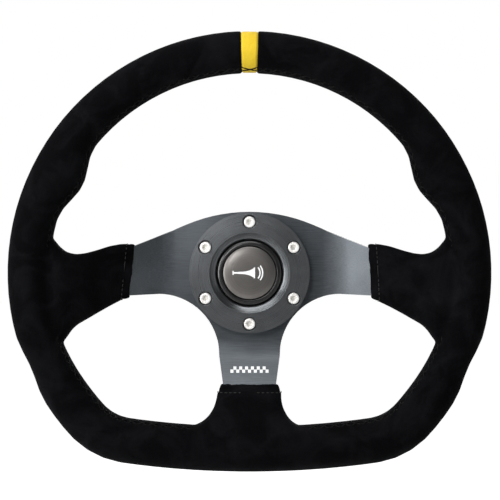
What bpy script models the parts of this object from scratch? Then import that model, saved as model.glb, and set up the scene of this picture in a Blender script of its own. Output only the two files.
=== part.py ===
"""A flat-bottomed three-spoke steering wheel with a horn button and a ball-lock quick-release coupler.

The wheel is drawn lying face up: X is the driver's right, Y is the top of the wheel and Z runs towards
the driver. One empty then stands it up, so that in the finished model the driver looks along +Y. The
origin is on the steering axis, in the rear seat of the coupler, where the steering column's hub touches.
"""

import math

import bmesh
import bpy
from mathutils import Matrix, Vector

MM = 0.001

# Fits
GAP = 0.3 * MM  # between pieces that touch
SLIDING_GAP = 0.3 * MM  # between pieces that slide on each other
STEPS = 30  # sides of a turned piece
OVERRUN = 3.0 * MM  # how far a cutter passes the faces it cuts through
WELD = 0.001 * MM
FLAT_ANGLE = math.radians(0.05)  # faces that meet at less are one flat face

# The rim's outline, as the driver sees it
RIM_RADIUS = 160.0 * MM
FLAT_DROP = 131.3 * MM  # from the steering axis down to the flat bottom
FLAT_CROWN = 600.0 * MM  # radius of the slight curve in the flat bottom
CORNER_RADIUS = 58.0 * MM
RIM_STATIONS = 56

# The grip around the rim
GRIP_WIDTH = 27.8 * MM
GRIP_WIDTH_LOW = 30.0 * MM  # below the side spokes
GRIP_DEPTH = 30.0 * MM
GRIP_SIDES = 10
THUMB_SWELL = 7.4 * MM
THUMB_ANGLE = math.radians(27.5)
THUMB_SPREAD = math.radians(12.5)
PALM_RELIEF = 2.3 * MM
PALM_ANGLE = math.radians(-23.5)
PALM_SPREAD = math.radians(9)
LOW_GRIP_FROM = math.radians(-12)
LOW_GRIP_TO = math.radians(-40)
SUEDE = 1.0 * MM
MARK_WIDTH = 10.6 * MM
MARK_STATIONS = 2
MARK_RECESS = 0.4 * MM  # how far the coloured band lies below the suede

# The hoop inside the grip, and its rivets
HOOP_WIDTH = 12.0 * MM
HOOP_THICKNESS = 4.0 * MM
RIVET_RADIUS = 2.5 * MM
RIVET_HEAD_RADIUS = 4.5 * MM
RIVET_HEAD = 2.0 * MM
RIVET_HEAD_FLAT = 3.3 * MM  # radius of the flat on a head
RIVET_HEAD_EDGE = 0.8 * MM  # height of a head's rim
RIVET_SPACING = 12.0 * MM

# The spoke plate
PLATE = 5.0 * MM
DISH = 40.0 * MM  # from the back of the plate to the middle of the rim
PLATE_TOP = 42.3 * MM
PLATE_TOP_RADIUS = 112.0 * MM
SHOULDER_SLOPE = math.radians(23)
SIDE_SPOKE_LOW = -14.5 * MM
CROTCH_RADIUS = 42.0 * MM
LOWER_SPOKE_HALF = 21.0 * MM
BEND_RADIUS = 20.0 * MM
SIDE_BEND_AT = 50.0 * MM
LOWER_BEND_AT = 44.0 * MM
SIDE_TAB = 5.0 * MM  # flat length between the bend and the hoop
LOWER_TAB = 4.0 * MM
TAB_EDGE = 1.0 * MM  # from a rivet's head to the tab's edge
TAB_NECK = 6.0 * MM  # the tab narrows this far before the bend ends
SIDE_SPOKE_NARROWS = 60.0 * MM  # from the rim, where the shoulder's slope ends
SIDE_SPOKE_DROP = 1.0 * MM  # how far the lower edge falls towards the rim
LOWER_MOUTH_HALF = 17.8 * MM
BEND_SLICES = 5
TOP_SLICES = 7
CROTCH_SLICES = 16

# The bolt circle
BOLT_COUNT = 6
BOLT_CIRCLE_RADIUS = 35.0 * MM
SCREW_RADIUS = 2.2 * MM
SCREW_HOLE_RADIUS = 2.8 * MM
TAPPED_HOLE_RADIUS = 2.5 * MM
SCREW_LENGTH = 14.0 * MM
SCREW_HEAD_RADIUS = 4.2 * MM
SCREW_HEAD = 4.6 * MM
SCREW_KEY_RADIUS = 2.3 * MM  # hexagon socket, to its corners
SCREW_KEY_DEPTH = 2.6 * MM
SCREW_CHAMFER = 0.5 * MM
COUNTERBORE_RADIUS = 4.8 * MM
COUNTERBORE_FLOOR = 1.6 * MM

# The horn button
HORN_RADIUS = 22.0 * MM
HORN_WALL = 1.6 * MM
HORN_FLOOR = 2.0 * MM
HORN_TRAVEL = 2.5 * MM
HORN_BASE_DEPTH = 12.5 * MM
BEZEL_SEAT = 0.6 * MM  # from the funnel's floor to the back of the bezel
BEZEL_HEIGHT = 2.8 * MM
BEZEL_CHAMFER = 1.2 * MM
BEZEL_CHAMFER_HEIGHT = 0.8 * MM
BEZEL_LIP = 0.5 * MM
BEZEL_LIP_RADIUS = HORN_RADIUS - 3.3 * MM
CAP_RADIUS = BEZEL_LIP_RADIUS - 0.4 * MM
CAP_FLANGE_RADIUS = HORN_RADIUS - 2.0 * MM
CAP_FLANGE = 1.6 * MM
CAP_WALL = 1.8 * MM
BADGE_RADIUS = CAP_RADIUS - GAP
BADGE_THICKNESS = 0.9 * MM
BADGE_CROWN = 0.8 * MM
CONTACT_OUTER_RADIUS = CAP_RADIUS - CAP_WALL - 2.5 * MM
CONTACT_INNER_RADIUS = CONTACT_OUTER_RADIUS - 4.0 * MM
CONTACT_THICKNESS = 0.8 * MM
HORN_SPRING_RADIUS = CONTACT_INNER_RADIUS - 3.0 * MM
HORN_WIRE = 0.9 * MM
HORN_TURNS = 3.5
SEAL_RADIUS = HORN_RADIUS - 0.2 * MM
SEAL_WIRE = 0.5 * MM
SEAL_SIDES = 8
TERMINAL_WIDTH = 6.3 * MM
TERMINAL_THICKNESS = 0.8 * MM
TERMINAL_LENGTH = 5.0 * MM
TERMINAL_SPACING = 8.0 * MM

# The ring around the horn button
RING_RADIUS = BOLT_CIRCLE_RADIUS + 6.3 * MM
RING_THICKNESS = 7.5 * MM
RING_BORE_RADIUS = HORN_RADIUS + 0.5 * MM
RING_FUNNEL_RADIUS = RING_BORE_RADIUS + 5.0 * MM
RING_FUNNEL_DEPTH = 5.0 * MM
RING_CHAMFER = 0.7 * MM
PLATE_HOLE_RADIUS = HORN_RADIUS + 3.0 * MM

# The quick-release coupler behind the wheel
COUPLER_LENGTH = 40.0 * MM
FLANGE_RADIUS = BOLT_CIRCLE_RADIUS + 4.5 * MM
FLANGE = 8.0 * MM
SOCKET_RADIUS = 22.0 * MM
SOCKET_DEPTH = 20.0 * MM
SOCKET_CHAMFER = 0.6 * MM
NECK_RADIUS = SOCKET_RADIUS + 6.0 * MM
SPLINE_ROOT_RADIUS = SOCKET_RADIUS - 1.6 * MM
SPLINE_TIP_RADIUS = SPLINE_ROOT_RADIUS - 1.8 * MM
SPLINE_DEPTH = 10.0 * MM
SPLINE_TEETH = 12
SPLINE_OVERCUT = 1.0 * MM
WEB = 4.0 * MM
WEB_HOLE_RADIUS = 9.5 * MM
FRONT_RECESS_RADIUS = HORN_RADIUS + 1.0 * MM

# The ball lock
BALL_COUNT = 6
BALL_RADIUS = 4.0 * MM
BALL_HEIGHT = 15.0 * MM  # from the rear seat to the balls' centres
BALL_REACH = 1.8 * MM  # how far a locked ball stands into the socket
BALL_TRAVEL = 2.0 * MM
BALL_SEAT = 0.5 * MM  # how far behind a locked ball's centre its hole begins to narrow
SLEEVE_TRAVEL = 7.0 * MM
CLIP_AT = 0.9 * MM
CLIP_THICKNESS = 1.2 * MM
CLIP_DEPTH = 1.4 * MM  # of its groove
CLIP_STAND = 1.8 * MM  # how far it stands out of the neck
CLIP_OPENING = math.radians(24)
SLEEVE_LIP = 1.8 * MM
SLEEVE_LIP_SLOPE = 0.5 * MM
SLEEVE_RADIUS = NECK_RADIUS + 6.5 * MM
SLEEVE_LENGTH = 20.0 * MM
SLEEVE_CHAMFER = 0.8 * MM
SLEEVE_TAPER = 9.4 * MM
SPRING_POCKET = 3.4 * MM
FINGER_FLANGE_RADIUS = SLEEVE_RADIUS + 5.3 * MM
FINGER_FLANGE = 4.5 * MM
FINGER_FLANGE_SLOPE = 1.5 * MM
SLEEVE_SPRING_RADIUS = NECK_RADIUS + 2.6 * MM
SLEEVE_WIRE = 1.8 * MM
SLEEVE_TURNS = 3.0

# The horn's contacts through the coupler
CARRIER_RADIUS = SPLINE_TIP_RADIUS - 3.6 * MM
CARRIER = 6.0 * MM
CARRIER_FLOOR = 0.8 * MM
PIN_OFFSET = 8.0 * MM
PIN_RADIUS = 1.5 * MM
PIN_HEAD_RADIUS = 2.3 * MM
PIN_HEAD = 1.0 * MM
PIN_REACH = 3.5 * MM
PIN_SPRING_RADIUS = 1.5 * MM
PIN_WIRE = 0.5 * MM
PIN_TURNS = 2.5

# Heights towards the driver, worked out from the sizes above
FLANGE_BACK = COUPLER_LENGTH - FLANGE
PLATE_BACK = COUPLER_LENGTH + GAP
PLATE_FRONT = PLATE_BACK + PLATE
PLATE_MIDDLE = PLATE_BACK + PLATE / 2
RIM_MIDDLE = PLATE_BACK + DISH
HOOP_BACK = RIM_MIDDLE - HOOP_THICKNESS / 2
TAB_MIDDLE = HOOP_BACK - GAP - PLATE / 2
SPOKE_RISE = TAB_MIDDLE - PLATE_MIDDLE
RING_BACK = PLATE_FRONT + GAP
RING_FRONT = RING_BACK + RING_THICKNESS
BEZEL_BACK = RING_FRONT - RING_FUNNEL_DEPTH + BEZEL_SEAT
BEZEL_FRONT = BEZEL_BACK + BEZEL_HEIGHT
CARRIER_BACK = SOCKET_DEPTH + SPLINE_DEPTH - CARRIER

# The grip's middle line inside the outline, and the release sleeve's taper
GRIP_MIDDLE = GRIP_WIDTH / 2
BALL_LOCKED_RADIUS = SOCKET_RADIUS - BALL_REACH + BALL_RADIUS
BALL_SLOPE = BALL_TRAVEL / SLEEVE_TRAVEL

# The suede sleeves over the spokes. Each row is the distance in from the rim's outline, the two edges
# across the spoke, and the thickness.
SIDE_SLEEVE = (
    (81.0 * MM, 20.6 * MM, -17.8 * MM, 10.8 * MM),
    (72.0 * MM, 20.0 * MM, -20.6 * MM, 13.0 * MM),
    (61.0 * MM, 16.8 * MM, -25.6 * MM, 17.0 * MM),
    (50.0 * MM, 13.4 * MM, -31.2 * MM, 21.0 * MM),
    (38.0 * MM, 14.0 * MM, -38.0 * MM, 24.0 * MM),
    (18.0 * MM, 18.0 * MM, -41.0 * MM, 22.0 * MM),
)
LOWER_SLEEVE = (
    (54.8 * MM, 20.4 * MM, -20.4 * MM, 11.6 * MM),
    (49.3 * MM, 21.4 * MM, -21.4 * MM, 13.0 * MM),
    (42.3 * MM, 22.8 * MM, -22.8 * MM, 16.5 * MM),
    (34.3 * MM, 27.4 * MM, -27.4 * MM, 21.0 * MM),
    (27.3 * MM, 35.0 * MM, -35.0 * MM, 24.0 * MM),
    (18.3 * MM, 36.0 * MM, -36.0 * MM, 24.0 * MM),
)
SLEEVE_SQUARENESS = 0.3  # 1 is an ellipse and 0 a rectangle
SLEEVE_SIDES = 10
SIDE_MOUTH = RIM_RADIUS - SIDE_SLEEVE[0][0]
LOWER_MOUTH = FLAT_DROP - LOWER_SLEEVE[0][0]
FOAM_SETBACK = 5.0 * MM  # from a sleeve's mouth to the foam inside it
INSIDE_ADVANCE = 4.0 * MM  # how far the hollow passes the mouths, to open them


# ---- Scene, materials and objects ----

for old in list(bpy.data.objects):
    bpy.data.objects.remove(old)

parts = bpy.data.collections.new("quick_release_steering_wheel")
cutters = bpy.data.collections.new("cutters")
bpy.context.scene.collection.children.link(parts)
bpy.context.scene.collection.children.link(cutters)

upright = bpy.data.objects.new("upright", None)
upright.rotation_euler = (math.radians(90), 0, 0)
parts.objects.link(upright)


def finish_material(name, colour, roughness, metallic):
    material = bpy.data.materials.new(name)
    material.use_nodes = True
    shader = material.node_tree.nodes["Principled BSDF"]
    shader.inputs["Base Color"].default_value = (*colour, 1)
    shader.inputs["Roughness"].default_value = roughness
    shader.inputs["Metallic"].default_value = metallic
    return material


BLACK_SUEDE = finish_material("black_suede", (0.012, 0.012, 0.014), 0.95, 0)
YELLOW_LEATHER = finish_material("yellow_leather", (0.84, 0.56, 0.03), 0.6, 0)
FOAM = finish_material("moulded_foam", (0.05, 0.05, 0.05), 0.9, 0)
STEEL = finish_material("plain_steel", (0.5, 0.5, 0.5), 0.4, 1)
BLACK_PLATE = finish_material("black_brushed_aluminium", (0.07, 0.075, 0.085), 0.4, 0.8)
BLACK_ANODISED = finish_material("black_anodised_aluminium", (0.05, 0.05, 0.055), 0.35, 0.8)
GREY_ANODISED = finish_material("grey_anodised_aluminium", (0.2, 0.2, 0.21), 0.35, 0.9)
STAINLESS = finish_material("stainless_steel", (0.75, 0.74, 0.72), 0.25, 1)
BLACK_PLASTIC = finish_material("black_plastic", (0.02, 0.02, 0.02), 0.35, 0)
DARK_BADGE = finish_material("dark_badge_metal", (0.12, 0.115, 0.11), 0.3, 0.9)
BRASS = finish_material("brass", (0.7, 0.5, 0.2), 0.3, 1)
SPRING_STEEL = finish_material("spring_steel", (0.4, 0.4, 0.42), 0.35, 1)
RUBBER = finish_material("black_rubber", (0.02, 0.02, 0.02), 0.8, 0)


def add_part(name, mesh, material, location=(0, 0, 0), turn=0.0):
    """An object for one sub-part, turned about the steering axis and placed in the lying wheel."""
    part = bpy.data.objects.new(name, mesh)
    if material.name not in mesh.materials:
        mesh.materials.append(material)
    part.location = location
    part.rotation_euler = (0, 0, turn)
    part.parent = upright
    parts.objects.link(part)
    return part


def add_cutter(name, mesh, location=(0, 0, 0), turn=0.0):
    cutter = bpy.data.objects.new(name, mesh)
    cutter.location = location
    cutter.rotation_euler = (0, 0, turn)
    cutter.parent = upright
    cutter.hide_render = True
    cutter.display_type = "WIRE"
    cutters.objects.link(cutter)
    return cutter


def boolean(part, operation, tool):
    modifier = part.modifiers.new(f"{operation.lower()}_{tool.name}", "BOOLEAN")
    modifier.operation = operation
    modifier.solver = "EXACT"
    modifier.object = tool


def evaluated_mesh(part, name):
    """The mesh that a part's modifiers make, so that copies can share it."""
    bpy.context.view_layer.update()
    graph = bpy.context.evaluated_depsgraph_get()
    mesh = bpy.data.meshes.new_from_object(part.evaluated_get(graph))
    mesh.name = name
    return mesh


def smooth(mesh, angle=math.radians(35)):
    mesh.shade_smooth()
    mesh.set_sharp_from_angle(angle=angle)
    return mesh


def mesh_from(built, name):
    """Turns a bmesh into a mesh with its faces pointing out."""
    bmesh.ops.recalc_face_normals(built, faces=built.faces)
    mesh = bpy.data.meshes.new(name)
    built.to_mesh(mesh)
    built.free()
    return mesh


# ---- Shapes ----


def turned_mesh(name, profile, steps=STEPS):
    """A profile of (radius, height) points turned about Z. Listed down the outside and up the inside."""
    mesh = bpy.data.meshes.new(name)
    on_axis = profile[0][0] == 0 and profile[-1][0] == 0
    edges = [(i, i + 1) for i in range(len(profile) - 1)]
    if not on_axis:
        edges.append((len(profile) - 1, 0))
    mesh.from_pydata([(radius, 0, height) for radius, height in profile], edges, [])
    holder = bpy.data.objects.new(name, mesh)
    cutters.objects.link(holder)
    screw = holder.modifiers.new("turn", "SCREW")
    screw.axis = "Z"
    screw.steps = steps
    screw.render_steps = steps
    screw.use_merge_vertices = True
    screw.merge_threshold = WELD
    made = evaluated_mesh(holder, name)
    bpy.data.objects.remove(holder)
    return smooth(made)


def rod_mesh(name, radius, low, high, sides=16, places=((0, 0),)):
    """Upright cylinders from one height to another, one at each place."""
    built = bmesh.new()
    for x, y in places:
        bmesh.ops.create_cone(
            built,
            cap_ends=True,
            segments=sides,
            radius1=radius,
            radius2=radius,
            depth=high - low,
            matrix=Matrix.Translation((x, y, (high + low) / 2)),
        )
    return mesh_from(built, name)


def flat_shape(name, outlines, low, high):
    """Flat outlines filled and given a thickness, as a bmesh. An outline inside another is a hole."""
    curve = bpy.data.curves.new(name, "CURVE")
    curve.dimensions = "2D"
    curve.fill_mode = "BOTH"
    curve.extrude = (high - low) / 2
    for outline in outlines:
        spline = curve.splines.new("POLY")
        spline.points.add(len(outline) - 1)
        spline.use_cyclic_u = True
        for point, (x, y) in zip(spline.points, outline):
            point.co = (x, y, 0, 1)
    holder = bpy.data.objects.new(name, curve)
    cutters.objects.link(holder)
    filled = evaluated_mesh(holder, name)
    bpy.data.objects.remove(holder)
    built = bmesh.new()
    built.from_mesh(filled)
    bpy.data.meshes.remove(filled)
    bmesh.ops.remove_doubles(built, verts=built.verts, dist=WELD)
    bmesh.ops.translate(built, verts=built.verts, vec=(0, 0, (low + high) / 2))
    return built


def around(count, radius, first=math.radians(90)):
    """Places spread evenly round the steering axis, starting at the top."""
    step = 2 * math.pi / count
    return [(radius * math.cos(first + i * step), radius * math.sin(first + i * step)) for i in range(count)]


def loft(built, rings, closed):
    """Joins rings of points into a tube of triangles, which meets itself when closed and has flat ends when
    not. Tubes inside each other get the same diagonals, so that the gap between them stays even."""
    rows = [[built.verts.new(point) for point in ring] for ring in rings]
    sides = len(rows[0])
    following = rows[1:] + rows[:1] if closed else rows[1:]
    for near, far in zip(rows, following):
        for i in range(sides):
            j = (i + 1) % sides
            built.faces.new((near[i], near[j], far[j]))
            built.faces.new((near[i], far[j], far[i]))
    if not closed:
        built.faces.new(rows[0])
        built.faces.new(list(reversed(rows[-1])))


def coil_part(name, radius, wire, turns, low, high, place=(0, 0), points_per_turn=14):
    """A compression spring as one wire with flat ends, from one height to another."""
    steps = round(turns * points_per_turn)
    curve = bpy.data.curves.new(name, "CURVE")
    curve.dimensions = "3D"
    curve.bevel_depth = wire / 2
    curve.bevel_resolution = 1
    curve.use_fill_caps = True
    spline = curve.splines.new("POLY")
    spline.points.add(steps)
    start = low + wire / 2
    pitch = (high - low - wire) / steps
    for i, point in enumerate(spline.points):
        angle = 2 * math.pi * i / points_per_turn
        point.co = (radius * math.cos(angle), radius * math.sin(angle), start + pitch * i, 1)
    return add_part(name, curve, SPRING_STEEL, (*place, 0))


# ---- The rim's outline and the grip's sections ----


def rim_arcs():
    """The right half of the outline as (centre, radius, first angle, last angle), from the top down."""
    flat_centre = Vector((0, FLAT_CROWN - FLAT_DROP))
    to_corner = RIM_RADIUS - CORNER_RADIUS
    flat_to_corner = FLAT_CROWN - CORNER_RADIUS
    height = (flat_centre.y**2 + to_corner**2 - flat_to_corner**2) / (2 * flat_centre.y)
    corner = Vector((math.sqrt(to_corner**2 - height**2), height))
    leaves_rim = math.atan2(corner.y, corner.x)
    meets_flat = math.atan2(corner.y - flat_centre.y, corner.x)
    return (
        (Vector((0, 0)), RIM_RADIUS, math.radians(90), leaves_rim),
        (corner, CORNER_RADIUS, leaves_rim, meets_flat),
        (flat_centre, FLAT_CROWN, meets_flat, math.radians(-90)),
    )


def half_loop_length():
    return sum((radius - GRIP_MIDDLE) * (first - last) for _, radius, first, last in rim_arcs())


def outline_at(distance):
    """The outline's point and inward direction, at a distance round the middle of the grip from the top."""
    half = half_loop_length()
    distance %= 2 * half
    left = distance > half
    remaining = 2 * half - distance if left else distance
    for centre, radius, first, last in rim_arcs():
        length = (radius - GRIP_MIDDLE) * (first - last)
        if remaining <= length or last == math.radians(-90):
            angle = first - min(remaining, length) / (radius - GRIP_MIDDLE)
            break
        remaining -= length
    outward = Vector((math.cos(angle), math.sin(angle)))
    point = centre + outward * radius
    if left:
        point.x = -point.x
        outward.x = -outward.x
    return point, -outward


def bump(angle, centre, spread):
    """A smooth hump, 1 at its centre and 0 beyond its spread."""
    share = (angle - centre) / spread
    return 0.5 * (1 + math.cos(math.pi * share)) if abs(share) < 1 else 0.0


def ease(angle, start, end):
    share = min(1.0, max(0.0, (angle - start) / (end - start)))
    return share * share * (3 - 2 * share)


def grip_ring(distance, inset):
    """The grip's section at a distance round the rim, shrunk by an inset."""
    point, inward = outline_at(distance)
    angle = math.atan2(point.y, abs(point.x))
    width = GRIP_WIDTH + (GRIP_WIDTH_LOW - GRIP_WIDTH) * ease(angle, LOW_GRIP_FROM, LOW_GRIP_TO)
    outer = PALM_RELIEF * bump(angle, PALM_ANGLE, PALM_SPREAD) + inset
    inner = width + THUMB_SWELL * bump(angle, THUMB_ANGLE, THUMB_SPREAD) - inset
    middle = point + inward * (outer + inner) / 2
    half_width = (inner - outer) / 2
    half_depth = GRIP_DEPTH / 2 - inset
    ring = []
    for i in range(GRIP_SIDES):
        turn = 2 * math.pi * (i + 0.5) / GRIP_SIDES
        across = middle + inward * half_width * math.cos(turn)
        ring.append((across.x, across.y, RIM_MIDDLE + half_depth * math.sin(turn)))
    return ring


def grip_mesh(name, inset, start=None, end=None, stations=RIM_STATIONS):
    """The grip as a solid: the whole loop, or the stretch between two distances from the top."""
    built = bmesh.new()
    loop = 2 * half_loop_length()
    if start is None:
        distances = [loop * i / stations for i in range(stations)]
    else:
        distances = [start + (end - start) * i / stations for i in range(stations + 1)]
    loft(built, [grip_ring(distance, inset) for distance in distances], closed=start is None)
    return mesh_from(built, name)


def hoop_mesh(name, grow=0.0):
    """The flat hoop that stiffens the rim."""
    loop = 2 * half_loop_length()
    places = [outline_at(loop * i / RIM_STATIONS) for i in range(RIM_STATIONS)]
    outer = [point + inward * (GRIP_MIDDLE - HOOP_WIDTH / 2 - grow) for point, inward in places]
    inner = [point + inward * (GRIP_MIDDLE + HOOP_WIDTH / 2 + grow) for point, inward in places]
    hoop_front = HOOP_BACK + HOOP_THICKNESS
    return mesh_from(flat_shape(name, (outer, inner), HOOP_BACK - grow, hoop_front + grow), name)


# ---- The bent spoke plate ----

SIDE_RUN = RIM_RADIUS - GRIP_MIDDLE - HOOP_WIDTH / 2 - SIDE_TAB - SIDE_BEND_AT
LOWER_RUN = FLAT_DROP - GRIP_MIDDLE - HOOP_WIDTH / 2 - LOWER_TAB - LOWER_BEND_AT


def bend_angle(run):
    """The slope between two equal, opposite bends that rise SPOKE_RISE over a run."""
    straight = math.sqrt(run**2 + SPOKE_RISE**2 - 4 * BEND_RADIUS * SPOKE_RISE)
    return 2 * math.atan((run - straight) / (4 * BEND_RADIUS - SPOKE_RISE))


def spoke_rise(along, run):
    """The height and slope of the plate's middle, at a distance past the start of its first bend."""
    slope = bend_angle(run)
    arc = BEND_RADIUS * math.sin(slope)
    if along <= 0:
        return 0.0, 0.0
    if along >= run:
        return SPOKE_RISE, 0.0
    if along < arc:
        return BEND_RADIUS - math.sqrt(BEND_RADIUS**2 - along**2), math.asin(along / BEND_RADIUS)
    if along > run - arc:
        left = run - along
        return SPOKE_RISE - BEND_RADIUS + math.sqrt(BEND_RADIUS**2 - left**2), math.asin(left / BEND_RADIUS)
    return BEND_RADIUS * (1 - math.cos(slope)) + (along - arc) * math.tan(slope), slope


def bend_cuts(start, run):
    """Distances from the axis where the plate is sliced, so that it can bend there."""
    arc = BEND_RADIUS * math.sin(bend_angle(run))
    near = [start + arc * i / BEND_SLICES for i in range(BEND_SLICES + 1)]
    far = [start + run - arc * i / BEND_SLICES for i in range(BEND_SLICES + 1)]
    return near + far


def arc_points(centre, radius, first, last, count):
    angles = [first + (last - first) * i / count for i in range(count + 1)]
    return [(centre[0] + radius * math.cos(a), centre[1] + radius * math.sin(a)) for a in angles]


def plate_outline():
    """The plate's outline as the driver sees it, clockwise from the top."""
    top_centre = (0, PLATE_TOP - PLATE_TOP_RADIUS)
    top = math.radians(90)
    half = arc_points(top_centre, PLATE_TOP_RADIUS, top, top - SHOULDER_SLOPE, TOP_SLICES)
    shoulder_x, shoulder_y = half[-1]
    tab_start = SIDE_BEND_AT + SIDE_RUN - TAB_NECK
    side_end = RIM_RADIUS - GRIP_MIDDLE + HOOP_WIDTH / 2
    tab_half = RIVET_SPACING / 2 + RIVET_HEAD_RADIUS + TAB_EDGE
    narrow = RIM_RADIUS - SIDE_SPOKE_NARROWS
    half.append((narrow, shoulder_y - (narrow - shoulder_x) * math.tan(SHOULDER_SLOPE)))
    half += [(tab_start, tab_half), (side_end, tab_half), (side_end, -tab_half), (tab_start, -tab_half)]
    half.append((SIDE_MOUTH + TAB_NECK, SIDE_SPOKE_LOW - SIDE_SPOKE_DROP))
    crotch = (LOWER_SPOKE_HALF + CROTCH_RADIUS, SIDE_SPOKE_LOW - CROTCH_RADIUS)
    half += arc_points(crotch, CROTCH_RADIUS, math.radians(90), math.radians(180), CROTCH_SLICES)
    lower_tab = LOWER_BEND_AT + LOWER_RUN - TAB_NECK
    lower_end = FLAT_DROP - GRIP_MIDDLE + HOOP_WIDTH / 2
    half += [(LOWER_MOUTH_HALF, -LOWER_MOUTH), (tab_half, -lower_tab), (tab_half, -lower_end)]
    return half + [(-x, y) for x, y in reversed(half) if x > WELD]


def grown(outline, grow):
    """A clockwise outline moved outwards by a distance."""
    result = []
    for i, here in enumerate(outline):
        before = Vector(here) - Vector(outline[i - 1])
        after = Vector(outline[(i + 1) % len(outline)]) - Vector(here)
        sides = [Vector((-side.y, side.x)).normalized() for side in (before, after)]
        shift = (sides[0] + sides[1]).normalized()
        result.append(Vector(here) + shift * grow / max(0.5, shift.dot(sides[0])))
    return [(point.x, point.y) for point in result]


def plate_mesh(name, grow=0.0):
    """The plate cut to its outline, sliced where it bends, and bent towards the rim."""
    half_thick = PLATE / 2 + grow
    built = flat_shape(name, (grown(plate_outline(), grow),), -half_thick, half_thick)
    bmesh.ops.dissolve_limit(built, angle_limit=FLAT_ANGLE, verts=built.verts, edges=built.edges)
    side_cuts = bend_cuts(SIDE_BEND_AT, SIDE_RUN)
    cuts = [((side * at, 0, 0), (side, 0, 0)) for at in side_cuts for side in (1, -1)]
    cuts += [((0, -at, 0), (0, -1, 0)) for at in bend_cuts(LOWER_BEND_AT, LOWER_RUN)]
    for point, direction in cuts:
        everything = built.verts[:] + built.edges[:] + built.faces[:]
        bmesh.ops.bisect_plane(built, geom=everything, dist=10 * WELD, plane_co=point, plane_no=direction)
    for vert in built.verts:
        side = abs(vert.co.x) > SIDE_BEND_AT
        along = abs(vert.co.x) - SIDE_BEND_AT if side else -vert.co.y - LOWER_BEND_AT
        rise, slope = spoke_rise(along, SIDE_RUN if side else LOWER_RUN)
        offset = vert.co.z
        outward = Vector((math.copysign(1, vert.co.x), 0, 0)) if side else Vector((0, -1, 0))
        vert.co.z = PLATE_MIDDLE + rise + offset * math.cos(slope)
        vert.co -= outward * offset * math.sin(slope)
    if grow:
        bmesh.ops.triangulate(built, faces=built.faces)  # a cutter's bent faces must be flat
    return mesh_from(built, name)


# ---- The suede sleeves round the spokes ----


def sleeve_rows(rows, lower, start):
    """The sleeve's rows, each with its height, from a distance along the spoke. They are centred on the
    plate at the mouth and on the rim at the far end."""
    bend_at = LOWER_BEND_AT if lower else SIDE_BEND_AT
    run = LOWER_RUN if lower else SIDE_RUN
    outline = FLAT_DROP if lower else RIM_RADIUS
    mouth = outline - rows[0][0]
    far_end = outline - rows[-1][0]
    full = []
    for from_rim, *section in rows:
        along = outline - from_rim
        shift = (RIM_MIDDLE - TAB_MIDDLE) * (along - mouth) / (far_end - mouth)
        full.append((along, *section, PLATE_MIDDLE + spoke_rise(along - bend_at, run)[0] + shift))
    if start < mouth:
        height = PLATE_MIDDLE + spoke_rise(start - bend_at, run)[0]
        return [(start, *full[0][1:4], height), *full]
    near = max(row for row in full if row[0] <= start)
    far = min(row for row in full if row[0] > start)
    share = (start - near[0]) / (far[0] - near[0])
    first = tuple(a + (b - a) * share for a, b in zip(near, far))
    return [first] + [row for row in full if row[0] > start]


def sleeve_mesh(name, rows, lower, mirrored, inset, start):
    """A tapered sleeve round one spoke, shrunk by an inset, from a distance along the spoke."""
    built = bmesh.new()
    rings = []
    for along, high, low, thickness, height in sleeve_rows(rows, lower, start):
        middle = (high + low) / 2
        half = (high - low) / 2 - inset
        half_thick = thickness / 2 - inset
        ring = []
        for k in range(SLEEVE_SIDES):
            turn = 2 * math.pi * (k + 0.5) / SLEEVE_SIDES
            c, s = math.cos(turn), math.sin(turn)
            across = middle + half * math.copysign(abs(c) ** SLEEVE_SQUARENESS, c)
            up = height + half_thick * math.copysign(abs(s) ** SLEEVE_SQUARENESS, s)
            if lower:
                ring.append((across, -along, up))
            else:
                ring.append((-along if mirrored else along, across, up))
        rings.append(ring)
    loft(built, rings, closed=False)
    return mesh_from(built, name)


def add_sleeves(part, label, inset, mouth_shift):
    """Joins the three sleeves to a grip, each starting a distance past its mouth."""
    for name, rows, mouth, lower, mirrored in (
        ("right", SIDE_SLEEVE, SIDE_MOUTH, False, False),
        ("left", SIDE_SLEEVE, SIDE_MOUTH, False, True),
        ("lower", LOWER_SLEEVE, LOWER_MOUTH, True, False),
    ):
        start = mouth + mouth_shift
        mesh = sleeve_mesh(f"{label}_{name}_sleeve", rows, lower, mirrored, inset, start)
        boolean(part, "UNION", add_cutter(mesh.name, mesh))


# ---- The rim: hoop, rivets, foam, suede and centre mark ----


def rivet_places():
    """Two places on the hoop's middle line at each spoke."""
    ring = RIM_RADIUS - GRIP_MIDDLE
    half = RIVET_SPACING / 2
    side_x = math.sqrt(ring**2 - half**2)
    low_y = -(FLAT_DROP - GRIP_MIDDLE)
    places = {}
    for label, x in (("right", side_x), ("left", -side_x)):
        places[f"{label}_upper"] = (x, half)
        places[f"{label}_lower"] = (x, -half)
    places["bottom_left"] = (-half, low_y)
    places["bottom_right"] = (half, low_y)
    return places


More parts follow.
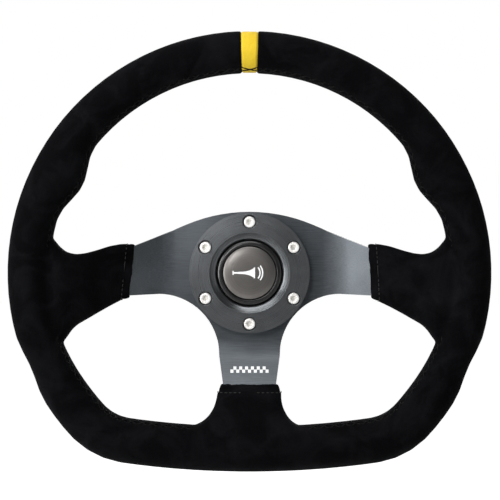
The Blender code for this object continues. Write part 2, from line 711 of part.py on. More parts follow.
def make_rim():
    rivets = rivet_places()
    tab_back = TAB_MIDDLE - PLATE / 2
    hoop_front = HOOP_BACK + HOOP_THICKNESS
    rivet_low = tab_back - GAP - RIVET_HEAD
    rivet_high = hoop_front + GAP + RIVET_HEAD
    rivet = turned_mesh(
        "rim_rivet",
        [
            (0, rivet_high),
            (RIVET_HEAD_FLAT, rivet_high),
            (RIVET_HEAD_RADIUS, rivet_high - RIVET_HEAD + RIVET_HEAD_EDGE),
            (RIVET_HEAD_RADIUS, rivet_high - RIVET_HEAD),
            (RIVET_RADIUS, rivet_high - RIVET_HEAD),
            (RIVET_RADIUS, rivet_low + RIVET_HEAD),
            (RIVET_HEAD_RADIUS, rivet_low + RIVET_HEAD),
            (RIVET_HEAD_RADIUS, rivet_low + RIVET_HEAD - RIVET_HEAD_EDGE),
            (RIVET_HEAD_FLAT, rivet_low),
            (0, rivet_low),
        ],
        steps=10,
    )
    for label, place in rivets.items():
        add_part(f"rim_rivet_{label}", rivet, STEEL, (*place, 0))
    places = list(rivets.values())
    hole_rods = rod_mesh("rivet_holes", RIVET_RADIUS + GAP, 0, 2 * RIM_MIDDLE, 10, places)
    holes = add_cutter("rivet_holes", hole_rods)
    rooms = rod_mesh("rivet_rooms", RIVET_HEAD_RADIUS + GAP, rivet_low - GAP, rivet_high + GAP, 10, places)
    rivet_rooms = add_cutter("rivet_rooms", rooms)

    hoop = add_part("rim_hoop", hoop_mesh("rim_hoop"), STEEL)
    boolean(hoop, "DIFFERENCE", holes)

    foam_inset = SUEDE + GAP
    foam = add_part("rim_foam", grip_mesh("rim_foam", foam_inset), FOAM)
    add_sleeves(foam, "foam", foam_inset, FOAM_SETBACK)
    boolean(foam, "DIFFERENCE", add_cutter("hoop_room", hoop_mesh("hoop_room", GAP)))
    boolean(foam, "DIFFERENCE", add_cutter("spoke_room", plate_mesh("spoke_room", GAP)))
    boolean(foam, "DIFFERENCE", rivet_rooms)

    loop = 2 * half_loop_length()
    half_mark = MARK_WIDTH / 2
    inside = add_cutter("grip_inside", grip_mesh("grip_inside", SUEDE))
    add_sleeves(inside, "inside", SUEDE, -INSIDE_ADVANCE)
    start = half_mark + GAP
    suede = add_part("suede_cover", grip_mesh("suede_cover", 0, start, loop - start), BLACK_SUEDE)
    add_sleeves(suede, "suede", 0, 0)
    boolean(suede, "DIFFERENCE", inside)

    band = grip_mesh("centre_mark", MARK_RECESS, -half_mark, half_mark, MARK_STATIONS)
    mark = add_part("centre_mark", band, YELLOW_LEATHER)
    boolean(mark, "DIFFERENCE", add_cutter("mark_inside", grip_mesh("mark_inside", SUEDE)))
    return holes


def make_plate(rivet_holes):
    plate = add_part("spoke_plate", plate_mesh("spoke_plate"), BLACK_PLATE)
    centre = rod_mesh("plate_centre_hole", PLATE_HOLE_RADIUS, 0, 2 * RIM_MIDDLE, STEPS)
    bolts = around(BOLT_COUNT, BOLT_CIRCLE_RADIUS)
    bolt_holes = rod_mesh("plate_bolt_holes", SCREW_HOLE_RADIUS, 0, 2 * RIM_MIDDLE, 12, bolts)
    boolean(plate, "DIFFERENCE", add_cutter("plate_bolt_holes", bolt_holes))
    boolean(plate, "DIFFERENCE", add_cutter("plate_centre_hole", centre))
    boolean(plate, "DIFFERENCE", rivet_holes)


# ---- The ring and its screws ----


def make_ring_and_screws():
    floor = RING_FRONT - RING_FUNNEL_DEPTH
    funnel = RING_FUNNEL_RADIUS - RING_BORE_RADIUS
    ring = add_part(
        "horn_ring",
        turned_mesh(
            "horn_ring",
            [
                (RING_RADIUS - RING_CHAMFER, RING_FRONT),
                (RING_RADIUS, RING_FRONT - RING_CHAMFER),
                (RING_RADIUS, RING_BACK),
                (RING_BORE_RADIUS, RING_BACK),
                (RING_BORE_RADIUS, floor),
                (RING_BORE_RADIUS + funnel * 0.45, floor + RING_FUNNEL_DEPTH * 0.3),
                (RING_BORE_RADIUS + funnel * 0.8, floor + RING_FUNNEL_DEPTH * 0.65),
                (RING_FUNNEL_RADIUS, RING_FRONT),
            ],
        ),
        BLACK_ANODISED,
    )
    bolts = around(BOLT_COUNT, BOLT_CIRCLE_RADIUS)
    through = rod_mesh("ring_bolt_holes", SCREW_HOLE_RADIUS, 0, 2 * RING_FRONT, 12, bolts)
    seat = RING_BACK + COUNTERBORE_FLOOR
    seats = rod_mesh("ring_counterbores", COUNTERBORE_RADIUS, seat, 2 * RING_FRONT, 16, bolts)
    boolean(ring, "DIFFERENCE", add_cutter("ring_bolt_holes", through))
    boolean(ring, "DIFFERENCE", add_cutter("ring_counterbores", seats))

    head_back = seat + GAP
    head_front = head_back + SCREW_HEAD
    tip = head_back - SCREW_LENGTH
    blank = turned_mesh(
        "screw_blank",
        [
            (0, head_front),
            (SCREW_HEAD_RADIUS - SCREW_CHAMFER, head_front),
            (SCREW_HEAD_RADIUS, head_front - SCREW_CHAMFER),
            (SCREW_HEAD_RADIUS, head_back),
            (SCREW_RADIUS, head_back),
            (SCREW_RADIUS, tip + SCREW_CHAMFER),
            (SCREW_RADIUS - SCREW_CHAMFER, tip),
            (0, tip),
        ],
        steps=14,
    )
    model = add_cutter("screw_model", blank)
    key = rod_mesh("screw_key", SCREW_KEY_RADIUS, head_front - SCREW_KEY_DEPTH, head_front + OVERRUN, 6)
    boolean(model, "DIFFERENCE", add_cutter("screw_key", key))
    screw = evaluated_mesh(model, "hub_screw")
    for i, (x, y) in enumerate(bolts):
        add_part(f"hub_screw_{i + 1}", screw, STAINLESS, (x, y, 0))


# ---- The horn button ----


def make_horn():
    base_front = BEZEL_BACK - GAP
    base_back = base_front - HORN_BASE_DEPTH
    inner = HORN_RADIUS - HORN_WALL
    floor = base_back + HORN_FLOOR
    seal_at = (RING_BACK + RING_FRONT - RING_FUNNEL_DEPTH) / 2
    groove = SEAL_RADIUS - SEAL_WIRE - GAP
    base = add_part(
        "horn_base",
        turned_mesh(
            "horn_base",
            [
                (HORN_RADIUS, base_front),
                (HORN_RADIUS, seal_at + SEAL_WIRE + GAP),
                (groove, seal_at + SEAL_WIRE + GAP),
                (groove, seal_at - SEAL_WIRE - GAP),
                (HORN_RADIUS, seal_at - SEAL_WIRE - GAP),
                (HORN_RADIUS, base_back),
                (PIN_RADIUS, base_back),
                (PIN_RADIUS, floor),
                (inner, floor),
                (inner, base_front),
            ],
        ),
        BLACK_PLASTIC,
    )
    turns = [-2 * math.pi * i / SEAL_SIDES for i in range(SEAL_SIDES)]  # clockwise, so the ring faces out
    seal = [(SEAL_RADIUS + SEAL_WIRE * math.cos(a), seal_at + SEAL_WIRE * math.sin(a)) for a in turns]
    add_part("horn_seal", turned_mesh("horn_seal", seal), RUBBER)

    add_part(
        "horn_bezel",
        turned_mesh(
            "horn_bezel",
            [
                (HORN_RADIUS - BEZEL_CHAMFER, BEZEL_FRONT),
                (HORN_RADIUS, BEZEL_FRONT - BEZEL_CHAMFER_HEIGHT),
                (HORN_RADIUS, BEZEL_BACK),
                (BEZEL_LIP_RADIUS, BEZEL_BACK),
                (BEZEL_LIP_RADIUS, BEZEL_FRONT - BEZEL_LIP),
                (BEZEL_LIP_RADIUS + BEZEL_LIP, BEZEL_FRONT),
            ],
        ),
        BLACK_PLASTIC,
    )

    flange_front = BEZEL_BACK - GAP
    flange_back = flange_front - CAP_FLANGE
    cap_front = BEZEL_FRONT - BADGE_CROWN
    cap_inside = CAP_RADIUS - CAP_WALL
    add_part(
        "horn_cap",
        turned_mesh(
            "horn_cap",
            [
                (0, cap_front),
                (CAP_RADIUS, cap_front),
                (CAP_RADIUS, flange_front),
                (CAP_FLANGE_RADIUS, flange_front),
                (CAP_FLANGE_RADIUS, flange_back),
                (cap_inside, flange_back),
                (cap_inside, flange_front),
                (0, flange_front),
            ],
        ),
        BLACK_PLASTIC,
    )
    badge_back = cap_front + GAP
    add_part(
        "horn_badge",
        turned_mesh(
            "horn_badge",
            [
                (0, badge_back + BADGE_THICKNESS + BADGE_CROWN),
                (BADGE_RADIUS * 0.5, badge_back + BADGE_THICKNESS + BADGE_CROWN * 0.8),
                (BADGE_RADIUS * 0.85, badge_back + BADGE_THICKNESS + BADGE_CROWN * 0.35),
                (BADGE_RADIUS, badge_back + BADGE_THICKNESS * 0.5),
                (BADGE_RADIUS, badge_back),
                (0, badge_back),
            ],
        ),
        DARK_BADGE,
    )

    moving_front = flange_front - GAP
    fixed_front = moving_front - CONTACT_THICKNESS - HORN_TRAVEL - GAP
    for name, front, back in (
        ("moving_contact", moving_front, moving_front - CONTACT_THICKNESS),
        ("fixed_contact", fixed_front, floor + GAP),
    ):
        profile = [
            (CONTACT_OUTER_RADIUS, front),
            (CONTACT_OUTER_RADIUS, back),
            (CONTACT_INNER_RADIUS, back),
            (CONTACT_INNER_RADIUS, front),
        ]
        add_part(name, turned_mesh(name, profile, 24), BRASS)
    coil_part("horn_spring", HORN_SPRING_RADIUS, HORN_WIRE, HORN_TURNS, floor + GAP, moving_front)

    slots = terminal_mesh("terminal_slots", base_back - OVERRUN, floor + OVERRUN, GAP)
    boolean(base, "DIFFERENCE", add_cutter("terminal_slots", slots))
    for label, side in (("signal", 1), ("ground", -1)):
        blade = terminal_mesh(f"horn_terminal_{label}", base_back - TERMINAL_LENGTH, floor, 0, (side,))
        add_part(blade.name, blade, BRASS)


def terminal_mesh(name, low, high, grow, sides=(1, -1)):
    """Flat terminal blades, one on each chosen side of the steering axis."""
    built = bmesh.new()
    for side in sides:
        size = (TERMINAL_THICKNESS + 2 * grow, TERMINAL_WIDTH + 2 * grow, high - low)
        place = Matrix.Translation((side * TERMINAL_SPACING / 2, 0, (high + low) / 2))
        bmesh.ops.create_cube(built, size=1, matrix=place @ Matrix.Diagonal((*size, 1)))
    return mesh_from(built, name)


# ---- The quick-release coupler ----


def sleeve_bore_at(height):
    """The radius of the release sleeve's taper, which holds the balls in and lets them out evenly."""
    reach = (BALL_RADIUS + SLIDING_GAP) * math.sqrt(1 + BALL_SLOPE**2)
    return BALL_LOCKED_RADIUS + reach - BALL_SLOPE * (height - BALL_HEIGHT)


def spline_cutter_mesh(name, low, high):
    """Tooth gaps for the socket's spline, with one gap left out at the top so the wheel fits one way."""
    built = bmesh.new()
    pitch = 2 * math.pi / SPLINE_TEETH
    depth = SPLINE_ROOT_RADIUS - SPLINE_TIP_RADIUS + SPLINE_OVERCUT
    width = SPLINE_TIP_RADIUS * pitch / 2
    for i in range(1, SPLINE_TEETH):
        turn = Matrix.Rotation(math.radians(90) + i * pitch, 4, "Z")
        place = Matrix.Translation((SPLINE_ROOT_RADIUS - depth / 2, 0, (high + low) / 2))
        size = Matrix.Diagonal((depth, width, high - low, 1))
        bmesh.ops.create_cube(built, size=1, matrix=turn @ place @ size)
    return mesh_from(built, name)


def ball_hole_mesh(name):
    """Radial holes for the balls, each with a narrow mouth that keeps its ball from falling inwards."""
    mouth = math.sqrt(BALL_RADIUS**2 - (BALL_RADIUS - BALL_REACH) ** 2) + SLIDING_GAP
    wide = BALL_RADIUS + SLIDING_GAP
    hole = turned_mesh(
        "ball_hole",
        [
            (0, NECK_RADIUS + OVERRUN),
            (wide, NECK_RADIUS + OVERRUN),
            (wide, BALL_LOCKED_RADIUS - BALL_SEAT),
            (mouth, SOCKET_RADIUS),
            (mouth, SOCKET_RADIUS - OVERRUN),
            (0, SOCKET_RADIUS - OVERRUN),
        ],
        steps=14,
    )
    built = bmesh.new()
    for i in range(BALL_COUNT):
        copy = bmesh.new()
        copy.from_mesh(hole)
        turn = Matrix.Rotation(2 * math.pi * i / BALL_COUNT, 4, "Z")
        lie = Matrix.Rotation(math.radians(90), 4, "Y")
        copy.transform(Matrix.Translation((0, 0, BALL_HEIGHT)) @ turn @ lie)
        scratch = bpy.data.meshes.new("ball_hole_copy")
        copy.to_mesh(scratch)
        copy.free()
        built.from_mesh(scratch)
        bpy.data.meshes.remove(scratch)
    return mesh_from(built, name)


def make_coupler():
    web_back = SOCKET_DEPTH + SPLINE_DEPTH
    web_front = web_back + WEB
    clip_high = CLIP_AT + CLIP_THICKNESS + GAP
    body = add_part(
        "coupler_body",
        turned_mesh(
            "coupler_body",
            [
                (FLANGE_RADIUS, COUPLER_LENGTH),
                (FLANGE_RADIUS, FLANGE_BACK),
                (NECK_RADIUS, FLANGE_BACK),
                (NECK_RADIUS, clip_high),
                (NECK_RADIUS - CLIP_DEPTH, clip_high),
                (NECK_RADIUS - CLIP_DEPTH, CLIP_AT - GAP),
                (NECK_RADIUS, CLIP_AT - GAP),
                (NECK_RADIUS, 0),
                (SOCKET_RADIUS + SOCKET_CHAMFER, 0),
                (SOCKET_RADIUS, SOCKET_CHAMFER),
                (SOCKET_RADIUS, SOCKET_DEPTH),
                (SPLINE_TIP_RADIUS, SOCKET_DEPTH),
                (SPLINE_TIP_RADIUS, web_back),
                (WEB_HOLE_RADIUS, web_back),
                (WEB_HOLE_RADIUS, web_front),
                (FRONT_RECESS_RADIUS, web_front),
                (FRONT_RECESS_RADIUS, COUPLER_LENGTH),
            ],
        ),
        GREY_ANODISED,
    )
    bolts = around(BOLT_COUNT, BOLT_CIRCLE_RADIUS)
    tap_end = FLANGE_BACK - OVERRUN
    tapped = rod_mesh("tapped_holes", TAPPED_HOLE_RADIUS, tap_end, 2 * COUPLER_LENGTH, 12, bolts)
    boolean(body, "DIFFERENCE", add_cutter("tapped_holes", tapped))
    boolean(body, "DIFFERENCE", add_cutter("ball_holes", ball_hole_mesh("ball_holes")))
    gaps = spline_cutter_mesh("spline_gaps", SOCKET_DEPTH - SPLINE_OVERCUT, web_back)
    boolean(body, "DIFFERENCE", add_cutter("spline_gaps", gaps))

    built = bmesh.new()
    bmesh.ops.create_uvsphere(built, u_segments=10, v_segments=7, radius=BALL_RADIUS)
    ball = smooth(mesh_from(built, "lock_ball"), math.radians(60))
    for i in range(BALL_COUNT):
        turn = 2 * math.pi * i / BALL_COUNT
        place = (BALL_LOCKED_RADIUS * math.cos(turn), BALL_LOCKED_RADIUS * math.sin(turn), BALL_HEIGHT)
        add_part(f"lock_ball_{i + 1}", ball, STAINLESS, place, turn)

    make_clip()
    make_sleeve(clip_high)
    make_contacts(web_back)


def make_clip():
    """An open retaining ring that stops the release sleeve at the rear of the neck."""
    inner = NECK_RADIUS - CLIP_DEPTH + GAP
    outer = NECK_RADIUS + CLIP_STAND
    first = math.radians(-90) + CLIP_OPENING / 2
    last = first + 2 * math.pi - CLIP_OPENING
    outline = arc_points((0, 0), outer, first, last, STEPS) + arc_points((0, 0), inner, last, first, STEPS)
    clip = flat_shape("retaining_clip", (outline,), CLIP_AT, CLIP_AT + CLIP_THICKNESS)
    add_part("retaining_clip", mesh_from(clip, "retaining_clip"), SPRING_STEEL)


def make_sleeve(clip_high):
    """The release sleeve: a rear lip, the taper over the balls, a guide land and a spring pocket."""
    back = clip_high
    lip_front = back + SLEEVE_LIP
    front = back + SLEEVE_LENGTH
    guide = NECK_RADIUS + SLIDING_GAP
    taper_front = BALL_HEIGHT + (sleeve_bore_at(BALL_HEIGHT) - guide) / BALL_SLOPE
    taper_back = taper_front - SLEEVE_TAPER
    pocket = SLEEVE_SPRING_RADIUS + SLEEVE_WIRE / 2 + GAP
    pocket_floor = front - SPRING_POCKET
    rear_relief = sleeve_bore_at(taper_back)
    add_part(
        "release_sleeve",
        turned_mesh(
            "release_sleeve",
            [
                (FINGER_FLANGE_RADIUS - SLEEVE_CHAMFER, front),
                (FINGER_FLANGE_RADIUS, front - SLEEVE_CHAMFER),
                (FINGER_FLANGE_RADIUS, front - FINGER_FLANGE + SLEEVE_CHAMFER),
                (FINGER_FLANGE_RADIUS - SLEEVE_CHAMFER, front - FINGER_FLANGE),
                (SLEEVE_RADIUS, front - FINGER_FLANGE - FINGER_FLANGE_SLOPE),
                (SLEEVE_RADIUS, back + SLEEVE_CHAMFER),
                (SLEEVE_RADIUS - SLEEVE_CHAMFER, back),
                (guide, back),
                (guide, lip_front),
                (rear_relief, lip_front + SLEEVE_LIP_SLOPE),
                (rear_relief, taper_back),
                (guide, taper_front),
                (guide, pocket_floor),
                (pocket, pocket_floor),
                (pocket, front),
            ],
        ),
        BLACK_ANODISED,
    )
    coil_part(
        "sleeve_spring",
        SLEEVE_SPRING_RADIUS,
        SLEEVE_WIRE,
        SLEEVE_TURNS,
        pocket_floor + GAP,
        FLANGE_BACK - GAP,
        points_per_turn=20,
    )


def make_contacts(web_back):
    """Two sprung pins in a plastic carrier, which carry the horn's circuit across the coupler."""
    carrier_front = web_back - GAP
    carrier = add_part(
        "contact_carrier",
        rod_mesh("contact_carrier", CARRIER_RADIUS, CARRIER_BACK, carrier_front, 28),
        BLACK_PLASTIC,
    )
    places = ((0, PIN_OFFSET), (0, -PIN_OFFSET))
    head_back = CARRIER_BACK + CARRIER_FLOOR
    bores = rod_mesh("pin_bores", PIN_RADIUS + SLIDING_GAP, 0, head_back, 10, places)
    room_radius = PIN_HEAD_RADIUS + SLIDING_GAP
    rooms = rod_mesh("pin_rooms", room_radius, head_back - SLIDING_GAP, 2 * web_back, 12, places)
    boolean(carrier, "DIFFERENCE", add_cutter("pin_bores", bores))
    boolean(carrier, "DIFFERENCE", add_cutter("pin_rooms", rooms))
    tip = CARRIER_BACK - PIN_REACH
    pin = turned_mesh(
        "contact_pin",
        [
            (0, head_back + PIN_HEAD),
            (PIN_HEAD_RADIUS, head_back + PIN_HEAD),
            (PIN_HEAD_RADIUS, head_back),
            (PIN_RADIUS, head_back),
            (PIN_RADIUS, tip + PIN_RADIUS * 0.6),
            (PIN_RADIUS * 0.6, tip),
            (0, tip),
        ],
        steps=10,
    )
    for label, place in zip(("upper", "lower"), places):
        add_part(f"contact_pin_{label}", pin, BRASS, (*place, 0))
        coil_part(
            f"contact_spring_{label}",
            PIN_SPRING_RADIUS,
            PIN_WIRE,
            PIN_TURNS,
            head_back + PIN_HEAD + GAP,
            web_back - GAP,
            place,
            points_per_turn=10,
        )


rivet_holes = make_rim()
make_plate(rivet_holes)
make_ring_and_screws()
make_horn()
make_coupler()
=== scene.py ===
import math
import random

import bpy
from mathutils import Matrix, Vector, kdtree, noise


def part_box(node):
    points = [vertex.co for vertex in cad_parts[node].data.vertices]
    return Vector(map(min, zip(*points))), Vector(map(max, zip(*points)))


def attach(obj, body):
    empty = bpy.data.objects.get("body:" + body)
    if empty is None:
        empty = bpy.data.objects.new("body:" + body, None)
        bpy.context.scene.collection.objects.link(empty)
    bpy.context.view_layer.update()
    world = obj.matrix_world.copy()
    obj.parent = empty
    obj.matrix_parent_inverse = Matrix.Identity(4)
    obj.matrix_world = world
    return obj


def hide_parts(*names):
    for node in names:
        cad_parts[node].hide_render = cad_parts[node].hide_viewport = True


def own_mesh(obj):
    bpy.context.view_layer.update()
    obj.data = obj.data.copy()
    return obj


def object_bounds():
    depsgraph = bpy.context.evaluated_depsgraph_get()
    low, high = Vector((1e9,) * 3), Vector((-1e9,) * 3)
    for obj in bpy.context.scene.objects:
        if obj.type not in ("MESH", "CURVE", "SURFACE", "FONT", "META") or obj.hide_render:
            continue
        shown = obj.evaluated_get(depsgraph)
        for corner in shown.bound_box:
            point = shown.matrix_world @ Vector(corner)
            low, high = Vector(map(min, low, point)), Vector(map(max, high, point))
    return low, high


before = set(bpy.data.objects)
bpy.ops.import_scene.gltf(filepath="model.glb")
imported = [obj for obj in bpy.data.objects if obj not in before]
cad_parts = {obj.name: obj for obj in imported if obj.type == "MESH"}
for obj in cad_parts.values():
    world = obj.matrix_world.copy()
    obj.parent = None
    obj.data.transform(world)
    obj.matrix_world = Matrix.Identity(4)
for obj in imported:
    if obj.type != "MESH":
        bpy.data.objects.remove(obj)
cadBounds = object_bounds()
mm = 0.001

# ---- shader nodes ----


def setOrLink(tree, socket, value):
    if isinstance(value, bpy.types.NodeSocket):
        tree.links.new(value, socket)
    else:
        socket.default_value = value


def addNode(tree, kind, settings=None, **inputs):
    node = tree.nodes.new("ShaderNode" + kind)
    for key, value in (settings or {}).items():
        setattr(node, key, value)
    for key, value in inputs.items():
        setOrLink(tree, node.inputs[key.replace("_", " ")], value)
    return node


# ---- stage ----
# The wheel's axis is Y and the driver looks along +Y, so the camera stands on the axis

stage = {
    "cameraAway": 752 * mm,      # from the middle of the rim
    "frameWidth": 330.6 * mm,    # seen at the middle of the rim
    "shiftX": 0.0010,
    "shiftZ": 0.0458,
    "floorDrop": 300 * mm,
    "floorSeen": 0.92,           # how bright the floor looks
    "floorLight": 0.16,          # how much it lights the wheel
    "skyLight": 0.15,
}
# each softbox's name, place, width, height and watts
softboxes = (
    ("keyLight", (-0.12, -0.42, 0.13), 0.12, 0.12, 0.48),
    ("leftLight", (-1.1, -0.85, 0.20), 0.6, 0.9, 16.0),
    ("topLight", (-0.30, -0.52, 1.10), 1.4, 0.8, 16.0),
    ("rightLight", (1.2, -0.75, -0.05), 0.6, 1.2, 1.6),
    ("backLight", (0.3, 1.3, 0.7), 1.2, 1.2, 12.0),
)

rimFront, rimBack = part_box("centre_mark")[0].y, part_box("centre_mark")[1].y
rimMiddle = (rimFront + rimBack) / 2


def aimAt(thing, target):
    thing.rotation_euler = (Vector(target) - thing.location).to_track_quat("-Z", "Y").to_euler()


def makeCamera():
    bpy.ops.object.camera_add(location=(0, rimMiddle - stage["cameraAway"], 0),
                              rotation=(math.radians(90), 0, 0))
    camera = bpy.context.active_object
    camera.name = "camera"
    camera.data.sensor_width = 36
    camera.data.lens = 36 * stage["cameraAway"] / stage["frameWidth"]
    camera.data.shift_x = stage["shiftX"]
    camera.data.shift_y = stage["shiftZ"]
    camera.data.clip_start = 0.05
    bpy.context.scene.camera = camera


def addSoftbox(name, place, width, height, watts):
    bpy.ops.object.light_add(type="AREA", location=place)
    lamp = bpy.context.active_object
    lamp.name = name
    lamp.data.shape = "RECTANGLE"
    lamp.data.size = width
    lamp.data.size_y = height
    lamp.data.energy = watts
    aimAt(lamp, (0, -0.06, 0))


def makeWorld():
    world = bpy.data.worlds.new("studio")
    bpy.context.scene.world = world
    world.use_nodes = True
    tree = world.node_tree
    tree.nodes.clear()
    split = addNode(tree, "SeparateXYZ", Vector=addNode(tree, "TexCoord").outputs["Generated"])
    half = addNode(tree, "MapRange", Value=split.outputs["Y"], From_Min=-1)
    ramp = addNode(tree, "ValToRGB", Fac=half.outputs[0])
    dim, bright = ramp.color_ramp.elements
    dim.position, dim.color = 0.08, (0.16, 0.17, 0.19, 1)      # the room behind the driver
    bright.position, bright.color = 0.7, (1, 1, 1, 1)
    sky = addNode(tree, "Background", Color=ramp.outputs[0], Strength=stage["skyLight"])
    seen = addNode(tree, "Background", Color=(1, 1, 1, 1), Strength=1.0)
    path = addNode(tree, "LightPath")
    mix = addNode(tree, "MixShader", Fac=path.outputs["Is Camera Ray"])
    tree.links.new(sky.outputs[0], mix.inputs[1])      # what lights the wheel
    tree.links.new(seen.outputs[0], mix.inputs[2])     # what the camera sees
    addNode(tree, "OutputWorld", Surface=mix.outputs[0])


def makeFloor():
    bpy.ops.mesh.primitive_plane_add(size=30, location=(0, 0, cadBounds[0][2] - stage["floorDrop"]))
    floor = bpy.context.active_object
    floor.name = "floor"
    material = bpy.data.materials.new("paleFloor")
    material.use_nodes = True
    tree = material.node_tree
    shader = tree.nodes["Principled BSDF"]
    shader.inputs["Base Color"].default_value = (0.8, 0.8, 0.8, 1)
    shader.inputs["Roughness"].default_value = 0.9
    shader.inputs["Emission Color"].default_value = (1, 1, 1, 1)
    path = addNode(tree, "LightPath")
    glow = addNode(tree, "MapRange", Value=path.outputs["Is Camera Ray"], To_Min=stage["floorLight"],
                   To_Max=stage["floorSeen"])
    tree.links.new(glow.outputs[0], shader.inputs["Emission Strength"])
    floor.data.materials.append(material)


bpy.context.scene.view_settings.view_transform = "Standard"
makeCamera()
makeWorld()
makeFloor()
for softbox in softboxes:
    addSoftbox(*softbox)
bpy.data.objects["keyLight"].visible_camera = False    # it hangs between the camera and the wheel
print("stage ready")


# ---- modelling helpers ----


def enterMode(name):
    bpy.ops.object.mode_set(mode=name)


def onlySelect(piece):
    bpy.ops.object.select_all(action="DESELECT")
    piece.select_set(True)
    bpy.context.view_layer.objects.active = piece


def newPiece(name):
    piece = bpy.context.active_object
    piece.name = name
    piece.data.name = name
    onlySelect(piece)
    return piece


def applyPlace(piece):
    onlySelect(piece)
    bpy.ops.object.transform_apply(location=True, rotation=True, scale=True)


def shift(piece, x, y, z):
    piece.data.transform(Matrix.Translation((x, y, z)))


def addModifier(piece, kind, **settings):
    modifier = piece.modifiers.new(kind.lower(), kind)
    for key, value in settings.items():
        setattr(modifier, key, value)
    onlySelect(piece)
    bpy.ops.object.modifier_apply(modifier=modifier.name)


def cutWith(piece, cutter):
    addModifier(piece, "BOOLEAN", operation="DIFFERENCE", solver="EXACT", object=cutter)
    bpy.data.objects.remove(cutter)


def smoothShade(piece, angle):
    onlySelect(piece)
    bpy.ops.object.shade_smooth_by_angle(angle=math.radians(angle))
    addModifier(piece, "WEIGHTED_NORMAL", keep_sharp=True)


def roundEdges(piece, width, segments, angle, shadeAngle=40):
    addModifier(piece, "BEVEL", width=width, segments=segments, limit_method="ANGLE",
                angle_limit=math.radians(angle), miter_outer="MITER_ARC")
    smoothShade(piece, shadeAngle)


def joinPieces(name, pieces):
    onlySelect(pieces[0])
    for piece in pieces:
        piece.select_set(True)
    bpy.ops.object.join()
    return newPiece(name)


def copyOf(piece, name, matrix):
    copy = piece.copy()
    copy.data = piece.data.copy()
    copy.name = name
    copy.data.name = name
    bpy.context.scene.collection.objects.link(copy)
    copy.data.transform(matrix)
    return copy


def mergedCopy(node, name):
    # a CAD node's mesh is loose triangles, so its copy is merged before it is shaped
    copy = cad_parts[node].copy()
    copy.data = copy.data.copy()
    bpy.context.scene.collection.objects.link(copy)
    copy.parent = None
    for key in list(copy.keys()):
        del copy[key]
    onlySelect(copy)
    newPiece(name)
    enterMode("EDIT")
    bpy.ops.mesh.select_all(action="SELECT")
    bpy.ops.mesh.remove_doubles(threshold=0.002 * mm)
    bpy.ops.mesh.dissolve_limited(angle_limit=math.radians(0.5))
    enterMode("OBJECT")
    return copy


def turnOutward(piece):
    onlySelect(piece)
    enterMode("EDIT")
    bpy.ops.mesh.select_all(action="SELECT")
    bpy.ops.mesh.normals_make_consistent(inside=False)
    enterMode("OBJECT")


def selectMode(kind):
    # with nothing selected, so that the next loop marks what an edit then works on
    enterMode("EDIT")
    bpy.ops.mesh.select_mode(type=kind)
    bpy.ops.mesh.select_all(action="DESELECT")
    enterMode("OBJECT")


def turnedPiece(name, profile, steps=96, solid=False):
    # points of (radius, depth along Y) turned about the steering axis, as a ring or a solid
    radius, depth = profile[0]
    bpy.ops.mesh.primitive_circle_add(vertices=steps, radius=radius, location=(0, depth, 0),
                                      rotation=(math.radians(90), 0, 0))
    piece = newPiece(name)
    applyPlace(piece)
    enterMode("EDIT")
    bpy.ops.mesh.select_all(action="SELECT")
    for nextRadius, nextDepth in profile[1:]:
        grow = nextRadius / radius
        bpy.ops.mesh.extrude_edges_move()
        bpy.ops.transform.resize(value=(grow, 1, grow))
        bpy.ops.transform.translate(value=(0, nextDepth - depth, 0))
        radius, depth = nextRadius, nextDepth
    if solid:
        bpy.ops.mesh.select_all(action="SELECT")
        bpy.ops.mesh.fill_holes(sides=0)
    else:
        bpy.ops.mesh.select_all(action="DESELECT")
        bpy.ops.mesh.select_non_manifold()
        bpy.ops.mesh.bridge_edge_loops()
    enterMode("OBJECT")
    turnOutward(piece)
    return piece


def drilled(name, radius, depth, sides, x=0.0, y=0.0, z=0.0):
    # a cutter along Y, its middle at x, y, z
    bpy.ops.mesh.primitive_cylinder_add(vertices=sides, radius=radius, depth=depth,
                                        location=(0, 0, 0), rotation=(math.radians(90), 0, 0))
    cutter = newPiece(name)
    applyPlace(cutter)
    shift(cutter, x, y, z)
    return cutter


def shapedTube(name, sides, loops, place):
    # a cylinder cut into loops whose points then go to place(share of the length, turn)
    bpy.ops.mesh.primitive_cylinder_add(vertices=sides, radius=1, depth=1, location=(0, 0, 0))
    piece = newPiece(name)
    selectMode("EDGE")
    verts = piece.data.vertices
    for edge in piece.data.edges:
        edge.select = abs(verts[edge.vertices[0]].co.z - verts[edge.vertices[1]].co.z) > 0.5
    enterMode("EDIT")
    bpy.ops.mesh.subdivide(number_cuts=loops)
    enterMode("OBJECT")
    for vert in piece.data.vertices:
        vert.co = place(vert.co.z + 0.5, math.atan2(vert.co.y, vert.co.x))
    turnOutward(piece)
    selectMode("VERT")
    return piece


def finishPiece(piece, material, body="wheel", nodes=()):
    piece.data.materials.clear()
    piece.data.materials.append(material)
    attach(piece, body)
    if nodes:
        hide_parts(*nodes)
    return piece


# ---- materials ----


def newGroup(name, inputs, outputs):
    group = bpy.data.node_groups.new(name, "ShaderNodeTree")
    for label, kind, value in inputs:
        socket = group.interface.new_socket(label, in_out="INPUT", socket_type=kind)
        if value is not None:
            socket.default_value = value
    for label, kind in outputs:
        group.interface.new_socket(label, in_out="OUTPUT", socket_type=kind)
    start = group.nodes.new("NodeGroupInput")
    end = group.nodes.new("NodeGroupOutput")
    return group, start, end


def mathNode(tree, operation, first, second):
    node = tree.nodes.new("ShaderNodeMath")
    node.operation = operation
    for socket, value in zip(node.inputs, (first, second)):
        setOrLink(tree, socket, value)
    return node.outputs[0]


def mixColours(tree, factor, first, second):
    node = tree.nodes.new("ShaderNodeMix")
    node.data_type = "RGBA"
    for index, value in ((0, factor), (6, first), (7, second)):
        setOrLink(tree, node.inputs[index], value)
    return node.outputs[2]


